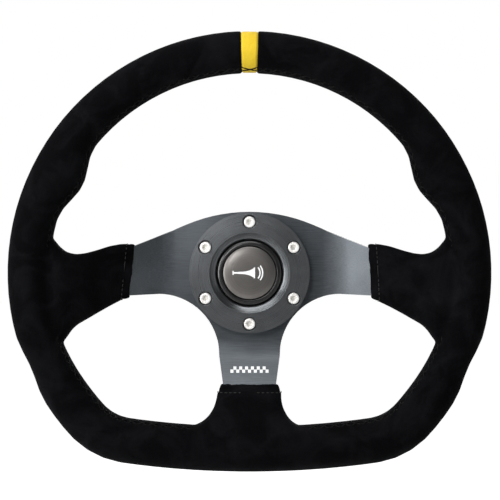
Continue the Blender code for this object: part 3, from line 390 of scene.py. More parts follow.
def makeNapGroup():
    # suede: fine fibres, and broad patches where the nap has been brushed another way
    group, start, end = newGroup(
        "suedeNap",
        [("Vector", "NodeSocketVector", None), ("Fibre Scale", "NodeSocketFloat", 2600.0),
         ("Patch Scale", "NodeSocketFloat", 42.0)],
        [("Patches", "NodeSocketFloat"), ("Fibres", "NodeSocketFloat"), ("Height", "NodeSocketFloat")])
    vector = start.outputs["Vector"]
    patches = addNode(group, "TexNoise", Vector=vector, Scale=start.outputs["Patch Scale"], Detail=5.0,
                      Roughness=0.62, Distortion=0.9)
    fibres = addNode(group, "TexNoise", Vector=vector, Scale=start.outputs["Fibre Scale"], Detail=3.0,
                     Roughness=0.7)
    tufts = addNode(group, "TexNoise", Vector=vector, Scale=700.0, Detail=2.0, Roughness=0.6)
    spread = addNode(group, "MapRange", Value=patches.outputs[0], From_Min=0.42, From_Max=0.72)
    height = mathNode(group, "MULTIPLY_ADD", tufts.outputs[0], 0.6)
    group.links.new(fibres.outputs[0], height.node.inputs[2])
    group.links.new(spread.outputs[0], end.inputs["Patches"])
    group.links.new(fibres.outputs[0], end.inputs["Fibres"])
    group.links.new(height, end.inputs["Height"])
    return group


def makeBrushGroup():
    # fine straight scratches along one direction, from a noise stretched along it
    group, start, end = newGroup(
        "brushLines",
        [("Vector", "NodeSocketVector", None), ("Stretch", "NodeSocketVector", (1, 1, 1)),
         ("Scale", "NodeSocketFloat", 900.0)],
        [("Lines", "NodeSocketFloat"), ("Clouds", "NodeSocketFloat")])
    stretched = addNode(group, "VectorMath", {"operation": "MULTIPLY"})
    group.links.new(start.outputs["Vector"], stretched.inputs[0])
    group.links.new(start.outputs["Stretch"], stretched.inputs[1])
    lines = addNode(group, "TexNoise", Vector=stretched.outputs[0], Scale=start.outputs["Scale"], Detail=4.0,
                    Roughness=0.65)
    clouds = addNode(group, "TexNoise", Vector=start.outputs["Vector"], Scale=38.0, Detail=3.0,
                     Roughness=0.55)
    group.links.new(lines.outputs[0], end.inputs["Lines"])
    group.links.new(clouds.outputs[0], end.inputs["Clouds"])
    return group


def makeLatheGroup():
    # the fine rings that a turning tool leaves around the steering axis
    group, start, end = newGroup(
        "latheRings",
        [("Vector", "NodeSocketVector", None), ("Scale", "NodeSocketFloat", 3000.0)],
        [("Rings", "NodeSocketFloat"), ("Clouds", "NodeSocketFloat")])
    split = addNode(group, "SeparateXYZ", Vector=start.outputs["Vector"])
    flat = addNode(group, "CombineXYZ", X=split.outputs["X"], Y=split.outputs["Z"])
    radius = addNode(group, "VectorMath", {"operation": "LENGTH"})
    group.links.new(flat.outputs[0], radius.inputs[0])
    along = addNode(group, "CombineXYZ", X=radius.outputs["Value"], Y=split.outputs["Y"])
    rings = addNode(group, "TexNoise", Vector=along.outputs[0], Scale=start.outputs["Scale"], Detail=3.0,
                    Roughness=0.7)
    clouds = addNode(group, "TexNoise", Vector=start.outputs["Vector"], Scale=55.0, Detail=3.0,
                     Roughness=0.6)
    group.links.new(rings.outputs[0], end.inputs["Rings"])
    group.links.new(clouds.outputs[0], end.inputs["Clouds"])
    return group


napGroup = makeNapGroup()
brushGroup = makeBrushGroup()
latheGroup = makeLatheGroup()


def startMaterial(name, **fixed):
    material = bpy.data.materials.new(name)
    material.use_nodes = True
    tree = material.node_tree
    shader = tree.nodes["Principled BSDF"]
    for key, value in fixed.items():
        shader.inputs[key.replace("_", " ")].default_value = value
    coords = tree.nodes.new("ShaderNodeTexCoord")
    return material, tree, shader, coords.outputs["Object"]


def useGroup(tree, group, vector, **values):
    node = tree.nodes.new("ShaderNodeGroup")
    node.node_tree = group
    tree.links.new(vector, node.inputs["Vector"])
    for key, value in values.items():
        node.inputs[key.replace("_", " ")].default_value = value
    return node


def roughFrom(tree, shader, value, low, high):
    rough = addNode(tree, "MapRange", Value=value, From_Min=0.3, From_Max=0.7, To_Min=low, To_Max=high)
    tree.links.new(rough.outputs[0], shader.inputs["Roughness"])


def bumpFrom(tree, shader, height, distance, strength):
    bump = addNode(tree, "Bump", Strength=strength, Distance=distance, Height=height)
    tree.links.new(bump.outputs[0], shader.inputs["Normal"])


def suedeMaterial(name, dark, light, sheen, sheenTint, bump=0.16 * mm):
    material, tree, shader, coords = startMaterial(
        name, Sheen_Weight=sheen, Sheen_Roughness=0.45, Sheen_Tint=sheenTint, Specular_IOR_Level=0.03)
    nap = useGroup(tree, napGroup, coords)
    blotch = mathNode(tree, "MULTIPLY", nap.outputs["Patches"], 0.75)
    speck = addNode(tree, "MapRange", Value=nap.outputs["Fibres"], From_Min=0.45, From_Max=0.8, To_Max=0.55)
    shade = mathNode(tree, "ADD", blotch, speck.outputs[0])
    colour = mixColours(tree, shade, dark, light)
    tree.links.new(colour, shader.inputs["Base Color"])
    rough = addNode(tree, "MapRange", Value=nap.outputs["Patches"], To_Min=0.98, To_Max=0.86)
    tree.links.new(rough.outputs[0], shader.inputs["Roughness"])
    bumpFrom(tree, shader, nap.outputs["Height"], bump, 0.9)
    return material


def metalMaterial(name, colours, metallic, group, output, lineTop, roughness, bump, **values):
    # cloudy metal with fine lines from one of the two groups
    material, tree, shader, coords = startMaterial(name, Metallic=metallic)
    marks = useGroup(tree, group, coords, **values)
    lines = marks.outputs[output]
    clouds = addNode(tree, "MapRange", Value=marks.outputs["Clouds"], From_Min=0.3, From_Max=0.7, To_Max=0.4)
    streaks = addNode(tree, "MapRange", Value=lines, From_Min=0.3, From_Max=lineTop, To_Max=0.6)
    shade = mathNode(tree, "ADD", clouds.outputs[0], streaks.outputs[0])
    tree.links.new(mixColours(tree, shade, *colours), shader.inputs["Base Color"])
    roughFrom(tree, shader, lines, *roughness)
    bumpFrom(tree, shader, lines, *bump)
    return material


def brushedMaterial(name, dark, light, stretch, roughness, metallic=1.0, scale=1300.0):
    return metalMaterial(name, (dark, light), metallic, brushGroup, "Lines", 0.72, roughness,
                         (0.05 * mm, 0.5), Stretch=stretch, Scale=scale)


def turnedMaterial(name, dark, light, roughness=(0.3, 0.42), metallic=0.9, bump=0.03 * mm):
    return metalMaterial(name, (dark, light), metallic, latheGroup, "Rings", 0.7, roughness,
                         (bump, 0.6), Scale=2600.0)


def mouldedMaterial(name, dark, light, roughness=(0.34, 0.5), specular=0.5, grain=1500.0, bump=0.03 * mm):
    # plastic, rubber and foam: a faint cloudiness and a fine moulded grain
    material, tree, shader, coords = startMaterial(name, Specular_IOR_Level=specular)
    clouds = addNode(tree, "TexNoise", Vector=coords, Scale=70.0, Detail=4.0, Roughness=0.6)
    fine = addNode(tree, "TexNoise", Vector=coords, Scale=grain, Detail=2.0, Roughness=0.5)
    tree.links.new(mixColours(tree, clouds.outputs[0], dark, light), shader.inputs["Base Color"])
    roughFrom(tree, shader, clouds.outputs[0], *roughness)
    bumpFrom(tree, shader, fine.outputs[0], bump, 0.5)
    return material


def grey(value, blue=1.0):
    return (value, value * (1 + (blue - 1) / 2), value * blue, 1)


blackSuede = suedeMaterial("blackSuede", (0.0011, 0.0011, 0.0014, 1), (0.0050, 0.0051, 0.0060, 1), 0.018,
                           (0.6, 0.61, 0.66, 1))
yellowSuede = suedeMaterial("yellowSuede", (0.55, 0.375, 0.02, 1), (0.74, 0.55, 0.05, 1), 0.25,
                            (1.0, 0.85, 0.45, 1), 0.08 * mm)
blackThread = mouldedMaterial("blackThread", grey(0.002), grey(0.006), (0.6, 0.75), 0.08, 2600.0, 0.08 * mm)
greyThread = mouldedMaterial("greyThread", grey(0.016), grey(0.032), (0.6, 0.75), 0.1, 2600.0, 0.08 * mm)
brushedPlate = brushedMaterial("brushedBlackAluminium", grey(0.036, 1.28), grey(0.098, 1.24), (0.035, 1, 1),
                               (0.36, 0.48), 0.65, 2300.0)
turnedRing = turnedMaterial("turnedBlackAluminium", grey(0.10, 1.12), grey(0.21, 1.10), (0.25, 0.33), 0.92)
turnedGrey = turnedMaterial("turnedGreyAluminium", grey(0.14, 1.05), grey(0.3, 1.03))
stainless = brushedMaterial("stainlessSteel", (0.88, 0.86, 0.82, 1), (0.97, 0.96, 0.93, 1), (1, 0.4, 1),
                            (0.24, 0.34), 0.35, 600.0)
badgeMetal = turnedMaterial("badgeMetal", (0.12, 0.112, 0.105, 1), (0.2, 0.189, 0.18, 1), (0.32, 0.38), 0.85,
                            0.003 * mm)
blackPlastic = mouldedMaterial("blackPlastic", grey(0.006), grey(0.014), (0.18, 0.28))
softFoam = mouldedMaterial("mouldedFoam", grey(0.03), grey(0.06), (0.8, 0.95), 0.3, 900.0, 0.15 * mm)
sealRubber = mouldedMaterial("sealRubber", grey(0.008), grey(0.02), (0.6, 0.8), 0.3)
plainSteel = brushedMaterial("plainSteel", grey(0.3), grey(0.5), (1, 1, 0.05), (0.35, 0.5))
springSteel = brushedMaterial("springSteel", grey(0.22, 1.05), grey(0.42, 1.04), (1, 0.3, 1), (0.28, 0.4))
bareBrass = brushedMaterial("bareBrass", (0.55, 0.36, 0.12, 1), (0.78, 0.56, 0.22, 1), (1, 0.2, 1),
                            (0.25, 0.4))
whitePrint = mouldedMaterial("whitePrint", grey(0.72), grey(0.86), (0.4, 0.5), 0.4, 2000.0, 0.01 * mm)
print("materials ready")


# ---- the rim's line and the grip's section ----

rim = {
    "radius": 159.7 * mm,
    "flatDrop": 131.3 * mm,
    "flatCrown": 600 * mm,
    "cornerRadius": 58 * mm,
    "width": 27.6 * mm,
    "lowWidth": 29.8 * mm,
    "depth": 30.2 * mm,
    "swell": 7.6 * mm, "swellAt": 27.5, "swellSpread": 12.5,
    "relief": 2.5 * mm, "reliefAt": -23.5, "reliefSpread": 9,
    "lowFrom": -12, "lowTo": -40,
    "wall": 1.0 * mm,
}
gripMiddle = 13.9 * mm       # the middle line lies this far inside the outline, as in the CAD


def rimArcs():
    # the right half as (centre, radius, first angle, last angle), from the top down
    flatCentre = Vector((0, rim["flatCrown"] - rim["flatDrop"]))
    toCorner = rim["radius"] - rim["cornerRadius"]
    flatToCorner = rim["flatCrown"] - rim["cornerRadius"]
    height = (flatCentre.y ** 2 + toCorner ** 2 - flatToCorner ** 2) / (2 * flatCentre.y)
    corner = Vector((math.sqrt(toCorner ** 2 - height ** 2), height))
    leavesRim = math.atan2(corner.y, corner.x)
    meetsFlat = math.atan2(corner.y - flatCentre.y, corner.x)
    return ((Vector((0, 0)), rim["radius"], math.radians(90), leavesRim),
            (corner, rim["cornerRadius"], leavesRim, meetsFlat),
            (flatCentre, rim["flatCrown"], meetsFlat, math.radians(-90)))


rimLine = rimArcs()
halfLoop = sum((radius - gripMiddle) * (first - last) for _, radius, first, last in rimLine)


def outlineAt(distance):
    # the outline's point and inward direction, as (x, z), at a distance round the rim from the top
    distance %= 2 * halfLoop
    left = distance > halfLoop
    remaining = 2 * halfLoop - distance if left else distance
    for centre, radius, first, last in rimLine:
        length = (radius - gripMiddle) * (first - last)
        if remaining <= length or last == math.radians(-90):
            angle = first - min(remaining, length) / (radius - gripMiddle)
            break
        remaining -= length
    outward = Vector((math.cos(angle), math.sin(angle)))
    point = centre + outward * radius
    if left:
        point.x, outward.x = -point.x, -outward.x
    return point, -outward


def hump(angle, centre, spread):
    share = (angle - centre) / spread
    return 0.5 * (1 + math.cos(math.pi * share)) if abs(share) < 1 else 0.0


def ease(value, start, end):
    share = min(1.0, max(0.0, (value - start) / (end - start)))
    return share * share * (3 - 2 * share)


def gripSection(distance, inset=0.0):
    # the section's centre, inward direction, half width and half depth
    point, inward = outlineAt(distance)
    angle = math.degrees(math.atan2(point.y, abs(point.x)))
    width = rim["width"] + (rim["lowWidth"] - rim["width"]) * ease(-angle, -rim["lowFrom"], -rim["lowTo"])
    outer = rim["relief"] * hump(angle, rim["reliefAt"], rim["reliefSpread"]) + inset
    inner = width + rim["swell"] * hump(angle, rim["swellAt"], rim["swellSpread"]) - inset
    return point + inward * (outer + inner) / 2, inward, (inner - outer) / 2, rim["depth"] / 2 - inset


def gripPoint(distance, turn, inset=0.0):
    # turn is 0 on the inner side of the rim and a quarter turn at the front
    centre, inward, halfWidth, halfDepth = gripSection(distance, inset)
    across = centre + inward * halfWidth * math.cos(turn)
    return Vector((across.x, rimMiddle - halfDepth * math.sin(turn), across.y))


# ---- the spokes' bend ----

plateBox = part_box("spoke_plate")
bend = {
    "sharp": 20 * mm,            # the bends' radius in the plate as it is loaded
    "sideSoft": 45 * mm,         # and their gentler radius in a pressed sheet
    "lowerSoft": 30 * mm,
    "thickness": 5 * mm,
    "sideAt": 50 * mm, "sideRun": 85.1 * mm,
    "lowerAt": 44 * mm, "lowerRun": 63.4 * mm,
    "cutStep": 1.7 * mm,
}
plateMiddle = plateBox[1].y - bend["thickness"] / 2
tabMiddle = plateBox[0].y + bend["thickness"] / 2
spokeRise = plateMiddle - tabMiddle


def plateDepth(along, lower, radius=None):
    # where the plate's middle lies along Y, and its slope, at a distance from the steering axis
    run = bend["lowerRun"] if lower else bend["sideRun"]
    along -= bend["lowerAt"] if lower else bend["sideAt"]
    radius = radius or (bend["lowerSoft"] if lower else bend["sideSoft"])
    straight = math.sqrt(run ** 2 + spokeRise ** 2 - 4 * radius * spokeRise)
    slope = 2 * math.atan((run - straight) / (4 * radius - spokeRise))
    arc = radius * math.sin(slope)
    if along <= 0:
        return plateMiddle, 0.0
    if along >= run:
        return tabMiddle, 0.0
    if along < arc:
        return plateMiddle - radius + math.sqrt(radius ** 2 - along ** 2), math.asin(along / radius)
    if along > run - arc:
        left = run - along
        return tabMiddle + radius - math.sqrt(radius ** 2 - left ** 2), math.asin(left / radius)
    return plateMiddle - radius * (1 - math.cos(slope)) - (along - arc) * math.tan(slope), slope


# ---- suede cover ----

cover = {
    "markHalf": 5.1 * mm,        # half the gap for the centre mark, along the rim
    "voxel": 1.15 * mm,
    "coarseVoxel": 2.2 * mm,     # for the surfaces inside
    "mouthOverrun": 4.0,         # in mm, opens the mouths
    "foamSetback": 5.0,          # in mm, from a mouth to the foam
    "foamGap": 0.4 * mm,
    "hem": 4.6 * mm,             # the turned-in band at each sleeve's mouth
    "hemGroove": 0.5 * mm,
    "seamTurn": 24,              # degrees from the inner side towards the front
    "seamGroove": 0.45 * mm,
    "seamWidth": 0.9 * mm, "hemWidth": 0.7 * mm,
    "seamHidden": (-3, 19),      # where round the rim the side sleeves hide the seam, in degrees
    "lowerHidden": (30 * mm, 48 * mm),
    "mouthEdge": 2.2 * mm,       # how far behind a mouth its edge wanders
    "wander": ((260, 0.45 * mm), (900, 0.2 * mm)),
}

# each row: distance from the axis, the two edges across the spoke, thickness, squareness
sideSleeve = (
    (78.0, 19.8, -17.3, 8.4, 0.22),
    (82.5, 19.9, -17.9, 8.8, 0.26),
    (84.0, 19.9, -18.6, 11.0, 0.34),
    (88.0, 19.7, -20.4, 13.2, 0.42),
    (95.0, 18.2, -23.6, 16.0, 0.50),
    (103.0, 15.3, -27.6, 19.0, 0.55),
    (110.0, 13.2, -31.6, 21.5, 0.6),
    (115.0, 12.6, -34.6, 22.7, 0.6),
    (118.5, 13.0, -38.0, 23.0, 0.6),
    (122.0, 14.2, -43.5, 23.0, 0.6),
    (126.0, 17.6, -48.5, 21.0, 0.6),
    (130.0, 23.0, -54.0, 18.0, 0.6),
    (142.0, 24.0, -54.0, 14.0, 0.6),
)
lowerSleeve = (
    (74.6, 19.2, -19.2, 8.8, 0.22),
    (79.0, 20.6, -20.6, 9.4, 0.26),
    (80.5, 21.6, -21.6, 11.6, 0.34),
    (85.0, 21.4, -22.3, 14.4, 0.42),
    (90.0, 22.4, -23.8, 17.0, 0.5),
    (95.0, 25.0, -27.0, 20.0, 0.55),
    (98.5, 28.0, -30.8, 22.0, 0.6),
    (101.0, 32.0, -36.0, 23.0, 0.6),
    (104.0, 39.0, -43.0, 22.0, 0.6),
    (113.0, 46.0, -46.0, 16.0, 0.6),
)
# the side sleeves' mouths lean: how much further out the lower edge starts
sleeves = {
    "right": {"rows": sideSleeve, "side": 1, "start": 80.8, "lean": 2.2},
    "left": {"rows": sideSleeve, "side": -1, "start": 78.2, "lean": 3.9},
    "lower": {"rows": lowerSleeve, "side": 0, "start": 75.3, "lean": 0.0},
}


def rowAt(rows, along):
    for near, far in zip(rows, rows[1:]):
        if along <= far[0]:
            share = max(0.0, (along - near[0]) / (far[0] - near[0]))
            return [a + (b - a) * share for a, b in zip(near, far)]
    return list(rows[-1])


def sleevePoint(sleeve, share, turn, inset=0.0, early=0.0):
    # share runs from the mouth to inside the rim
    rows, side = sleeve["rows"], sleeve["side"]
    first, last = sleeve["start"] - early, rows[-1][0]
    along = first + (last - first) * share
    _, high, low, thickness, squareness = rowAt(rows, along)
    lower = side == 0
    half = (high - low) / 2 * mm - inset
    halfThick = thickness / 2 * mm - inset
    c, s = math.cos(turn), math.sin(turn)
    across = (high + low) / 2 * mm + half * math.copysign(abs(c) ** squareness, c)
    leaning = sleeve["lean"] * (high * mm - across) / ((high - low) * mm) * (1 - ease(share, 0, 0.5))
    reach = (along + leaning) * mm
    depth, _ = plateDepth(reach, lower)
    depth += (rimMiddle - tabMiddle) * ease(along, rows[3][0], last)
    y = depth - halfThick * math.copysign(abs(s) ** squareness, s)
    return Vector((across, y, -reach)) if lower else Vector((side * reach, y, across))


def gripBody(name, inset, voxel, early):
    # the rim and its three sleeves grown together into one closed skin
    loop = 2 * halfLoop
    gap = cover["markHalf"]
    grip = shapedTube(f"{name}Grip", 44, 330,
                      lambda share, turn: gripPoint(gap + (loop - 2 * gap) * share, turn, inset))
    parts = [grip]
    for label, sleeve in sleeves.items():
        parts.append(shapedTube(
            f"{name}{label.capitalize()}Sleeve", 72, 44,
            lambda share, turn, sleeve=sleeve: sleevePoint(sleeve, share, turn, inset, early)))
    body = joinPieces(name, parts)
    addModifier(body, "REMESH", mode="VOXEL", voxel_size=voxel, adaptivity=0.0)
    return body


def railTree():
    # the rim's middle line as a search tree, to find how far round the rim a point is
    count = 1200
    tree = kdtree.KDTree(count)
    for i in range(count):
        centre, _, _, _ = gripSection(2 * halfLoop * i / count)
        tree.insert((centre.x, rimMiddle, centre.y), i)
    tree.balance()
    return tree, count


def groove(offset, width):
    return math.exp(-(offset / width) ** 2)


def pressSeams(body):
    # sinks the seam along the inner front of the rim, and the fold behind each hem
    tree, count = railTree()
    for vert in body.data.vertices:
        _, index, _ = tree.find((vert.co.x, rimMiddle, vert.co.z))
        distance = 2 * halfLoop * index / count
        centre, inward, halfWidth, halfDepth = gripSection(distance)
        offset = Vector((vert.co.x, vert.co.z)) - centre
        turn = math.degrees(math.atan2((rimMiddle - vert.co.y) / halfDepth, offset.dot(inward) / halfWidth))
        arc = math.radians(turn - cover["seamTurn"]) * (halfWidth + halfDepth) / 2
        sink = cover["seamGroove"] * groove(arc, cover["seamWidth"]) * seamFade(distance)
        reach = sleeveReach(vert.co)
        if reach is not None:
            sink += cover["hemGroove"] * groove(reach - cover["hem"], cover["hemWidth"])
        if sink > 0.01 * mm:
            vert.co -= vert.normal * sink


def seamFade(distance):
    # the seam runs all round the rim but sinks under the sleeves, where its fade is 0
    point, _ = outlineAt(distance)
    angle = math.degrees(math.atan2(point.y, abs(point.x)))
    side = 1 - hump(angle, *cover["seamHidden"])
    lower = ease(abs(point.x), *cover["lowerHidden"]) if angle < -50 else 1.0
    return min(ease(side, 0.3, 0.8), lower)


def sleeveReach(point):
    # how far a point lies behind its sleeve's mouth, or None away from the mouths
    if abs(point.x) > 70 * mm and abs(point.z) < 26 * mm:
        sleeve = sleeves["right" if point.x > 0 else "left"]
        leaning = sleeve["lean"] * (19.8 * mm - point.z) / (37.1 * mm)
        reach = abs(point.x) - (sleeve["start"] + leaning) * mm
    elif abs(point.x) < 26 * mm and point.z < -60 * mm:
        reach = -point.z - sleeves["lower"]["start"] * mm
    else:
        return None
    return reach if reach < 12 * mm else None


def roughenMouths(body):
    # the cut edges of the suede aren't quite straight
    for vert in body.data.vertices:
        reach = sleeveReach(vert.co)
        if reach is not None and reach < cover["mouthEdge"]:
            wander = sum(noise.noise(vert.co * scale) * size for scale, size in cover["wander"])
            outward = Vector((vert.co.x, 0, 0)) if abs(vert.co.x) > 60 * mm else Vector((0, 0, vert.co.z))
            vert.co += outward.normalized() * wander * (1 - max(0.0, reach) / cover["mouthEdge"])


def makeCover():
    body = gripBody("suedeCover", 0.0, cover["voxel"], 0.0)
    addModifier(body, "SMOOTH", factor=0.5, iterations=7)
    pressSeams(body)
    roughenMouths(body)
    inside = gripBody("coverInside", rim["wall"], cover["coarseVoxel"], cover["mouthOverrun"])
    addModifier(body, "BOOLEAN", operation="DIFFERENCE", solver="MANIFOLD", object=inside)
    bpy.data.objects.remove(inside)
    onlySelect(body)
    bpy.ops.object.shade_smooth_by_angle(angle=math.radians(50))
    print("suede cover:", len(body.data.polygons), "faces")
    finishPiece(body, blackSuede, nodes=("suede_cover",))


def makeFoam():
    foam = gripBody("rimFoam", rim["wall"] + cover["foamGap"], cover["coarseVoxel"], -cover["foamSetback"])
    addModifier(foam, "SMOOTH", factor=0.5, iterations=4)
    smoothShade(foam, 50)
    finishPiece(foam, softFoam, nodes=("rim_foam",))


makeCover()
makeFoam()


# ---- centre mark ----

mark = {"half": 5.45 * mm, "sunk": 0.45 * mm, "curl": 0.7 * mm, "thickness": 0.45 * mm}


def makeMark():
    def place(share, turn):
        along = mark["half"] * (2 * share - 1)
        edge = ease(abs(along), mark["half"] - 1.2 * mm, mark["half"])
        return gripPoint(along, turn, mark["sunk"] + mark["curl"] * edge)

    band = shapedTube("centreMark", 96, 22, place)
    selectMode("FACE")
    for face in band.data.polygons:
        face.select = len(face.vertices) > 4
    enterMode("EDIT")
    bpy.ops.mesh.delete(type="ONLY_FACE")
    bpy.ops.mesh.select_mode(type="VERT")
    enterMode("OBJECT")
    addModifier(band, "SOLIDIFY", thickness=mark["thickness"], offset=-1)
    smoothShade(band, 60)
    finishPiece(band, yellowSuede, nodes=("centre_mark",))


makeMark()


# ---- stitching ----

stitch = {"pitch": 7.2 * mm, "thread": 0.42 * mm, "reach": 2.2 * mm, "points": 7}


def threadAlong(points, radius, sides=6):
    # one round thread through a list of points, with closed ends, as vertices and faces for a shared mesh
    verts, faces = [], []
    for i, point in enumerate(points):
        before, after = points[max(0, i - 1)], points[min(len(points) - 1, i + 1)]
        ahead = (after - before).normalized()
        side = ahead.orthogonal().normalized()
        up = ahead.cross(side)
        size = radius * (0.45 if i in (0, len(points) - 1) else 1.0)
        for k in range(sides):
            turn = 2 * math.pi * k / sides
            verts.append(point + (side * math.cos(turn) + up * math.sin(turn)) * size)
    for i in range(len(points) - 1):
        for k in range(sides):
            a, b = i * sides + k, i * sides + (k + 1) % sides
            faces.append((a, b, b + sides, a + sides))
    faces.append(tuple(reversed(range(sides))))
    faces.append(tuple(range((len(points) - 1) * sides, len(points) * sides)))
    return verts, faces


def threadsPiece(name, runs, radius, sides=6):
    verts, faces = [], []
    for points in runs:
        moreVerts, moreFaces = threadAlong(points, radius, sides)
        faces += [tuple(i + len(verts) for i in face) for face in moreFaces]
        verts += moreVerts
    mesh = bpy.data.meshes.new(name)
    mesh.from_pydata(verts, [], faces)
    piece = bpy.data.objects.new(name, mesh)
    bpy.context.scene.collection.objects.link(piece)
    turnOutward(piece)
    bpy.ops.object.shade_smooth()
    return piece


def crossStitch(start, length, lift):
    # the two threads of one X across the seam
    seam = math.radians(cover["seamTurn"])
    runs = []
    for slant in (1, -1):
        points = []
        for i in range(stitch["points"]):
            share = i / (stitch["points"] - 1)
            along = start + length * share
            _, _, halfWidth, halfDepth = gripSection(along)
            swing = stitch["reach"] * (2 * share - 1) * slant / ((halfWidth + halfDepth) / 2)
            rise = lift + 0.25 * mm * math.sin(math.pi * share) * (1.6 if slant > 0 else 0.6)
            ends = -0.5 * mm if i in (0, stitch["points"] - 1) else 0.0
            points.append(gripPoint(along, seam + swing, -(rise + ends)))
        runs.append(points)
    return runs


def makeStitching():
    loop = 2 * halfLoop
    start = cover["markHalf"] + 1.0 * mm
    count = round((loop - 2 * start) / stitch["pitch"])
    pitch = (loop - 2 * start) / count
    runs = []
    for i in range(count):
        along = start + pitch * i
        if seamFade(along + pitch / 2) > 0.35:
            runs += crossStitch(along + pitch * 0.04, pitch * 0.92, -0.25 * mm)
    threads = threadsPiece("rimStitching", runs, stitch["thread"])
    finishPiece(threads, blackThread)
    markRuns = crossStitch(-mark["half"] - 0.5 * mm, 2 * mark["half"] + 1.0 * mm, -0.3 * mm)
    markThreads = threadsPiece("markStitching", markRuns, stitch["thread"] * 0.9)
    finishPiece(markThreads, blackThread)


def hemRuns(sleeve):
    # short stitches round a sleeve, a fixed distance behind its mouth
    rows = sleeve["rows"]
    share = (cover["hem"] / mm + 0.6) / (rows[-1][0] - sleeve["start"])
    count = 900
    ring = [sleevePoint(sleeve, share, 2 * math.pi * i / count) for i in range(count + 1)]
    runs, points, travelled = [], [], 0.0
    for near, far in zip(ring, ring[1:]):
        travelled += (far - near).length
        place = travelled % hemStitch["pitch"]
        if place < hemStitch["length"]:
            points.append(far.copy())
        elif points:
            runs.append(points)
            points = []
    return [run[::max(1, len(run) // 5)] for run in runs if len(run) > 3]


hemStitch = {"pitch": 3.1 * mm, "length": 2.3 * mm, "thread": 0.28 * mm}


def makeHems():
    runs = []
    for sleeve in sleeves.values():
        runs += [run for run in hemRuns(sleeve) if len(run) > 1]
    threads = threadsPiece("hemStitching", runs, hemStitch["thread"])
    finishPiece(threads, greyThread)


makeStitching()
makeHems()
print("cover, mark and stitching ready")


# ---- spoke plate ----


def softenBends(plate):
    # rows of cuts across each spoke, whose edges are then laid on the gentler bends
    step = bend["cutStep"]
    onlySelect(plate)
    enterMode("EDIT")
    bpy.ops.mesh.select_mode(type="VERT")
    for start, run, ways in ((bend["sideAt"], bend["sideRun"], ((1, 0, 0), (-1, 0, 0))),
                             (bend["lowerAt"], bend["lowerRun"], ((0, 0, -1),))):
        for way in ways:
            for k in range(int(run / step) + 1):
                bpy.ops.mesh.select_all(action="SELECT")
                bpy.ops.mesh.bisect(plane_co=[axis * (start + k * step) for axis in way], plane_no=way)
    enterMode("OBJECT")
    for vert in plate.data.vertices:
        lower = -vert.co.z > bend["lowerAt"] and abs(vert.co.x) < bend["sideAt"]
        along = -vert.co.z if lower else abs(vert.co.x)
        wasDepth, wasSlope = plateDepth(along, lower, bend["sharp"])
        depth, slope = plateDepth(along, lower)
        vert.co.y = depth + (vert.co.y - wasDepth) * math.cos(wasSlope) / math.cos(slope)


def makePlate():
    plate = mergedCopy("spoke_plate", "spokePlate")
    softenBends(plate)
    roundEdges(plate, 0.45 * mm, 2, 35, 32)
    finishPiece(plate, brushedPlate, nodes=("spoke_plate",))


makePlate()


# ---- printed strip on the lower spoke ----

strip = {"columns": 13, "rows": 2, "square": 2.0 * mm, "at": 67.6 * mm, "thickness": 0.08 * mm}


def makeStrip():
    width, height = strip["columns"] * strip["square"], strip["rows"] * strip["square"]
    bpy.ops.mesh.primitive_grid_add(x_subdivisions=strip["columns"], y_subdivisions=strip["rows"], size=1)
    piece = newPiece("chequeredStrip")
    selectMode("FACE")
    for face in piece.data.polygons:
        column = math.floor((face.center.x + 0.5) * strip["columns"])
        row = math.floor((face.center.y + 0.5) * strip["rows"])
        face.select = (column + row) % 2 == 1
    enterMode("EDIT")
    bpy.ops.mesh.delete(type="FACE")
    bpy.ops.mesh.select_mode(type="VERT")
    enterMode("OBJECT")
    for vert in piece.data.vertices:
        along = strip["at"] - vert.co.y * height
        depth, slope = plateDepth(along, True)
        front = bend["thickness"] / 2 + strip["thickness"] / 2
        vert.co = Vector((vert.co.x * width, depth - front * math.cos(slope),
                          -along + front * math.sin(slope)))
    addModifier(piece, "SOLIDIFY", thickness=strip["thickness"], offset=0)
    finishPiece(piece, whitePrint)


makeStrip()


# ---- horn ring and its screws ----

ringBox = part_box("horn_ring")
ring = {
    "outer": 41.3 * mm, "funnelTop": 27.6 * mm, "bore": 22.5 * mm, "funnelDepth": 5.0 * mm,
    "coneDepth": 3.75 * mm, "lip": 0.35 * mm,
    "screws": 6, "boltCircle": 35 * mm,
    "seat": 4.75 * mm, "seatLip": 0.3 * mm, "seatFloor": 5.9 * mm, "hole": 2.8 * mm,
}
ringFront, ringBack = ringBox[0].y, ringBox[1].y


def boltPlaces():
    for i in range(ring["screws"]):
        turn = 2 * math.pi * i / ring["screws"] + math.radians(90)
        yield ring["boltCircle"] * math.cos(turn), ring["boltCircle"] * math.sin(turn)


def makeRing():
    floor = ringFront + ring["funnelDepth"]
    profile = [(ring["outer"], ringFront), (ring["outer"], ringBack), (ring["bore"], ringBack),
               (ring["bore"], floor)]
    steps = 10
    for i in range(1, steps + 1):
        # a shallow cone from the front face down to a lip round the button
        share = i / steps
        profile.append((ring["bore"] + ring["lip"] + (ring["funnelTop"] - ring["bore"] - ring["lip"]) * share,
                        ringFront + ring["coneDepth"] * (1 - 0.85 * share - 0.15 * share ** 2)))
    piece = turnedPiece("hornRing", profile, 144)
    for x, z in boltPlaces():
        seat = [(ring["seat"] + ring["seatLip"] * 2, ringFront - ring["seatLip"]),
                (ring["seat"], ringFront + ring["seatLip"]), (ring["seat"], ringFront + ring["seatFloor"]),
                (ring["hole"], ringFront + ring["seatFloor"]), (ring["hole"], ringBack + 1 * mm)]
        cutter = turnedPiece("seatCutter", seat, 48, solid=True)
        shift(cutter, x, 0, z)
        cutWith(piece, cutter)
    roundEdges(piece, 0.3 * mm, 3, 40, 35)
    finishPiece(piece, turnedRing, nodes=("horn_ring",))


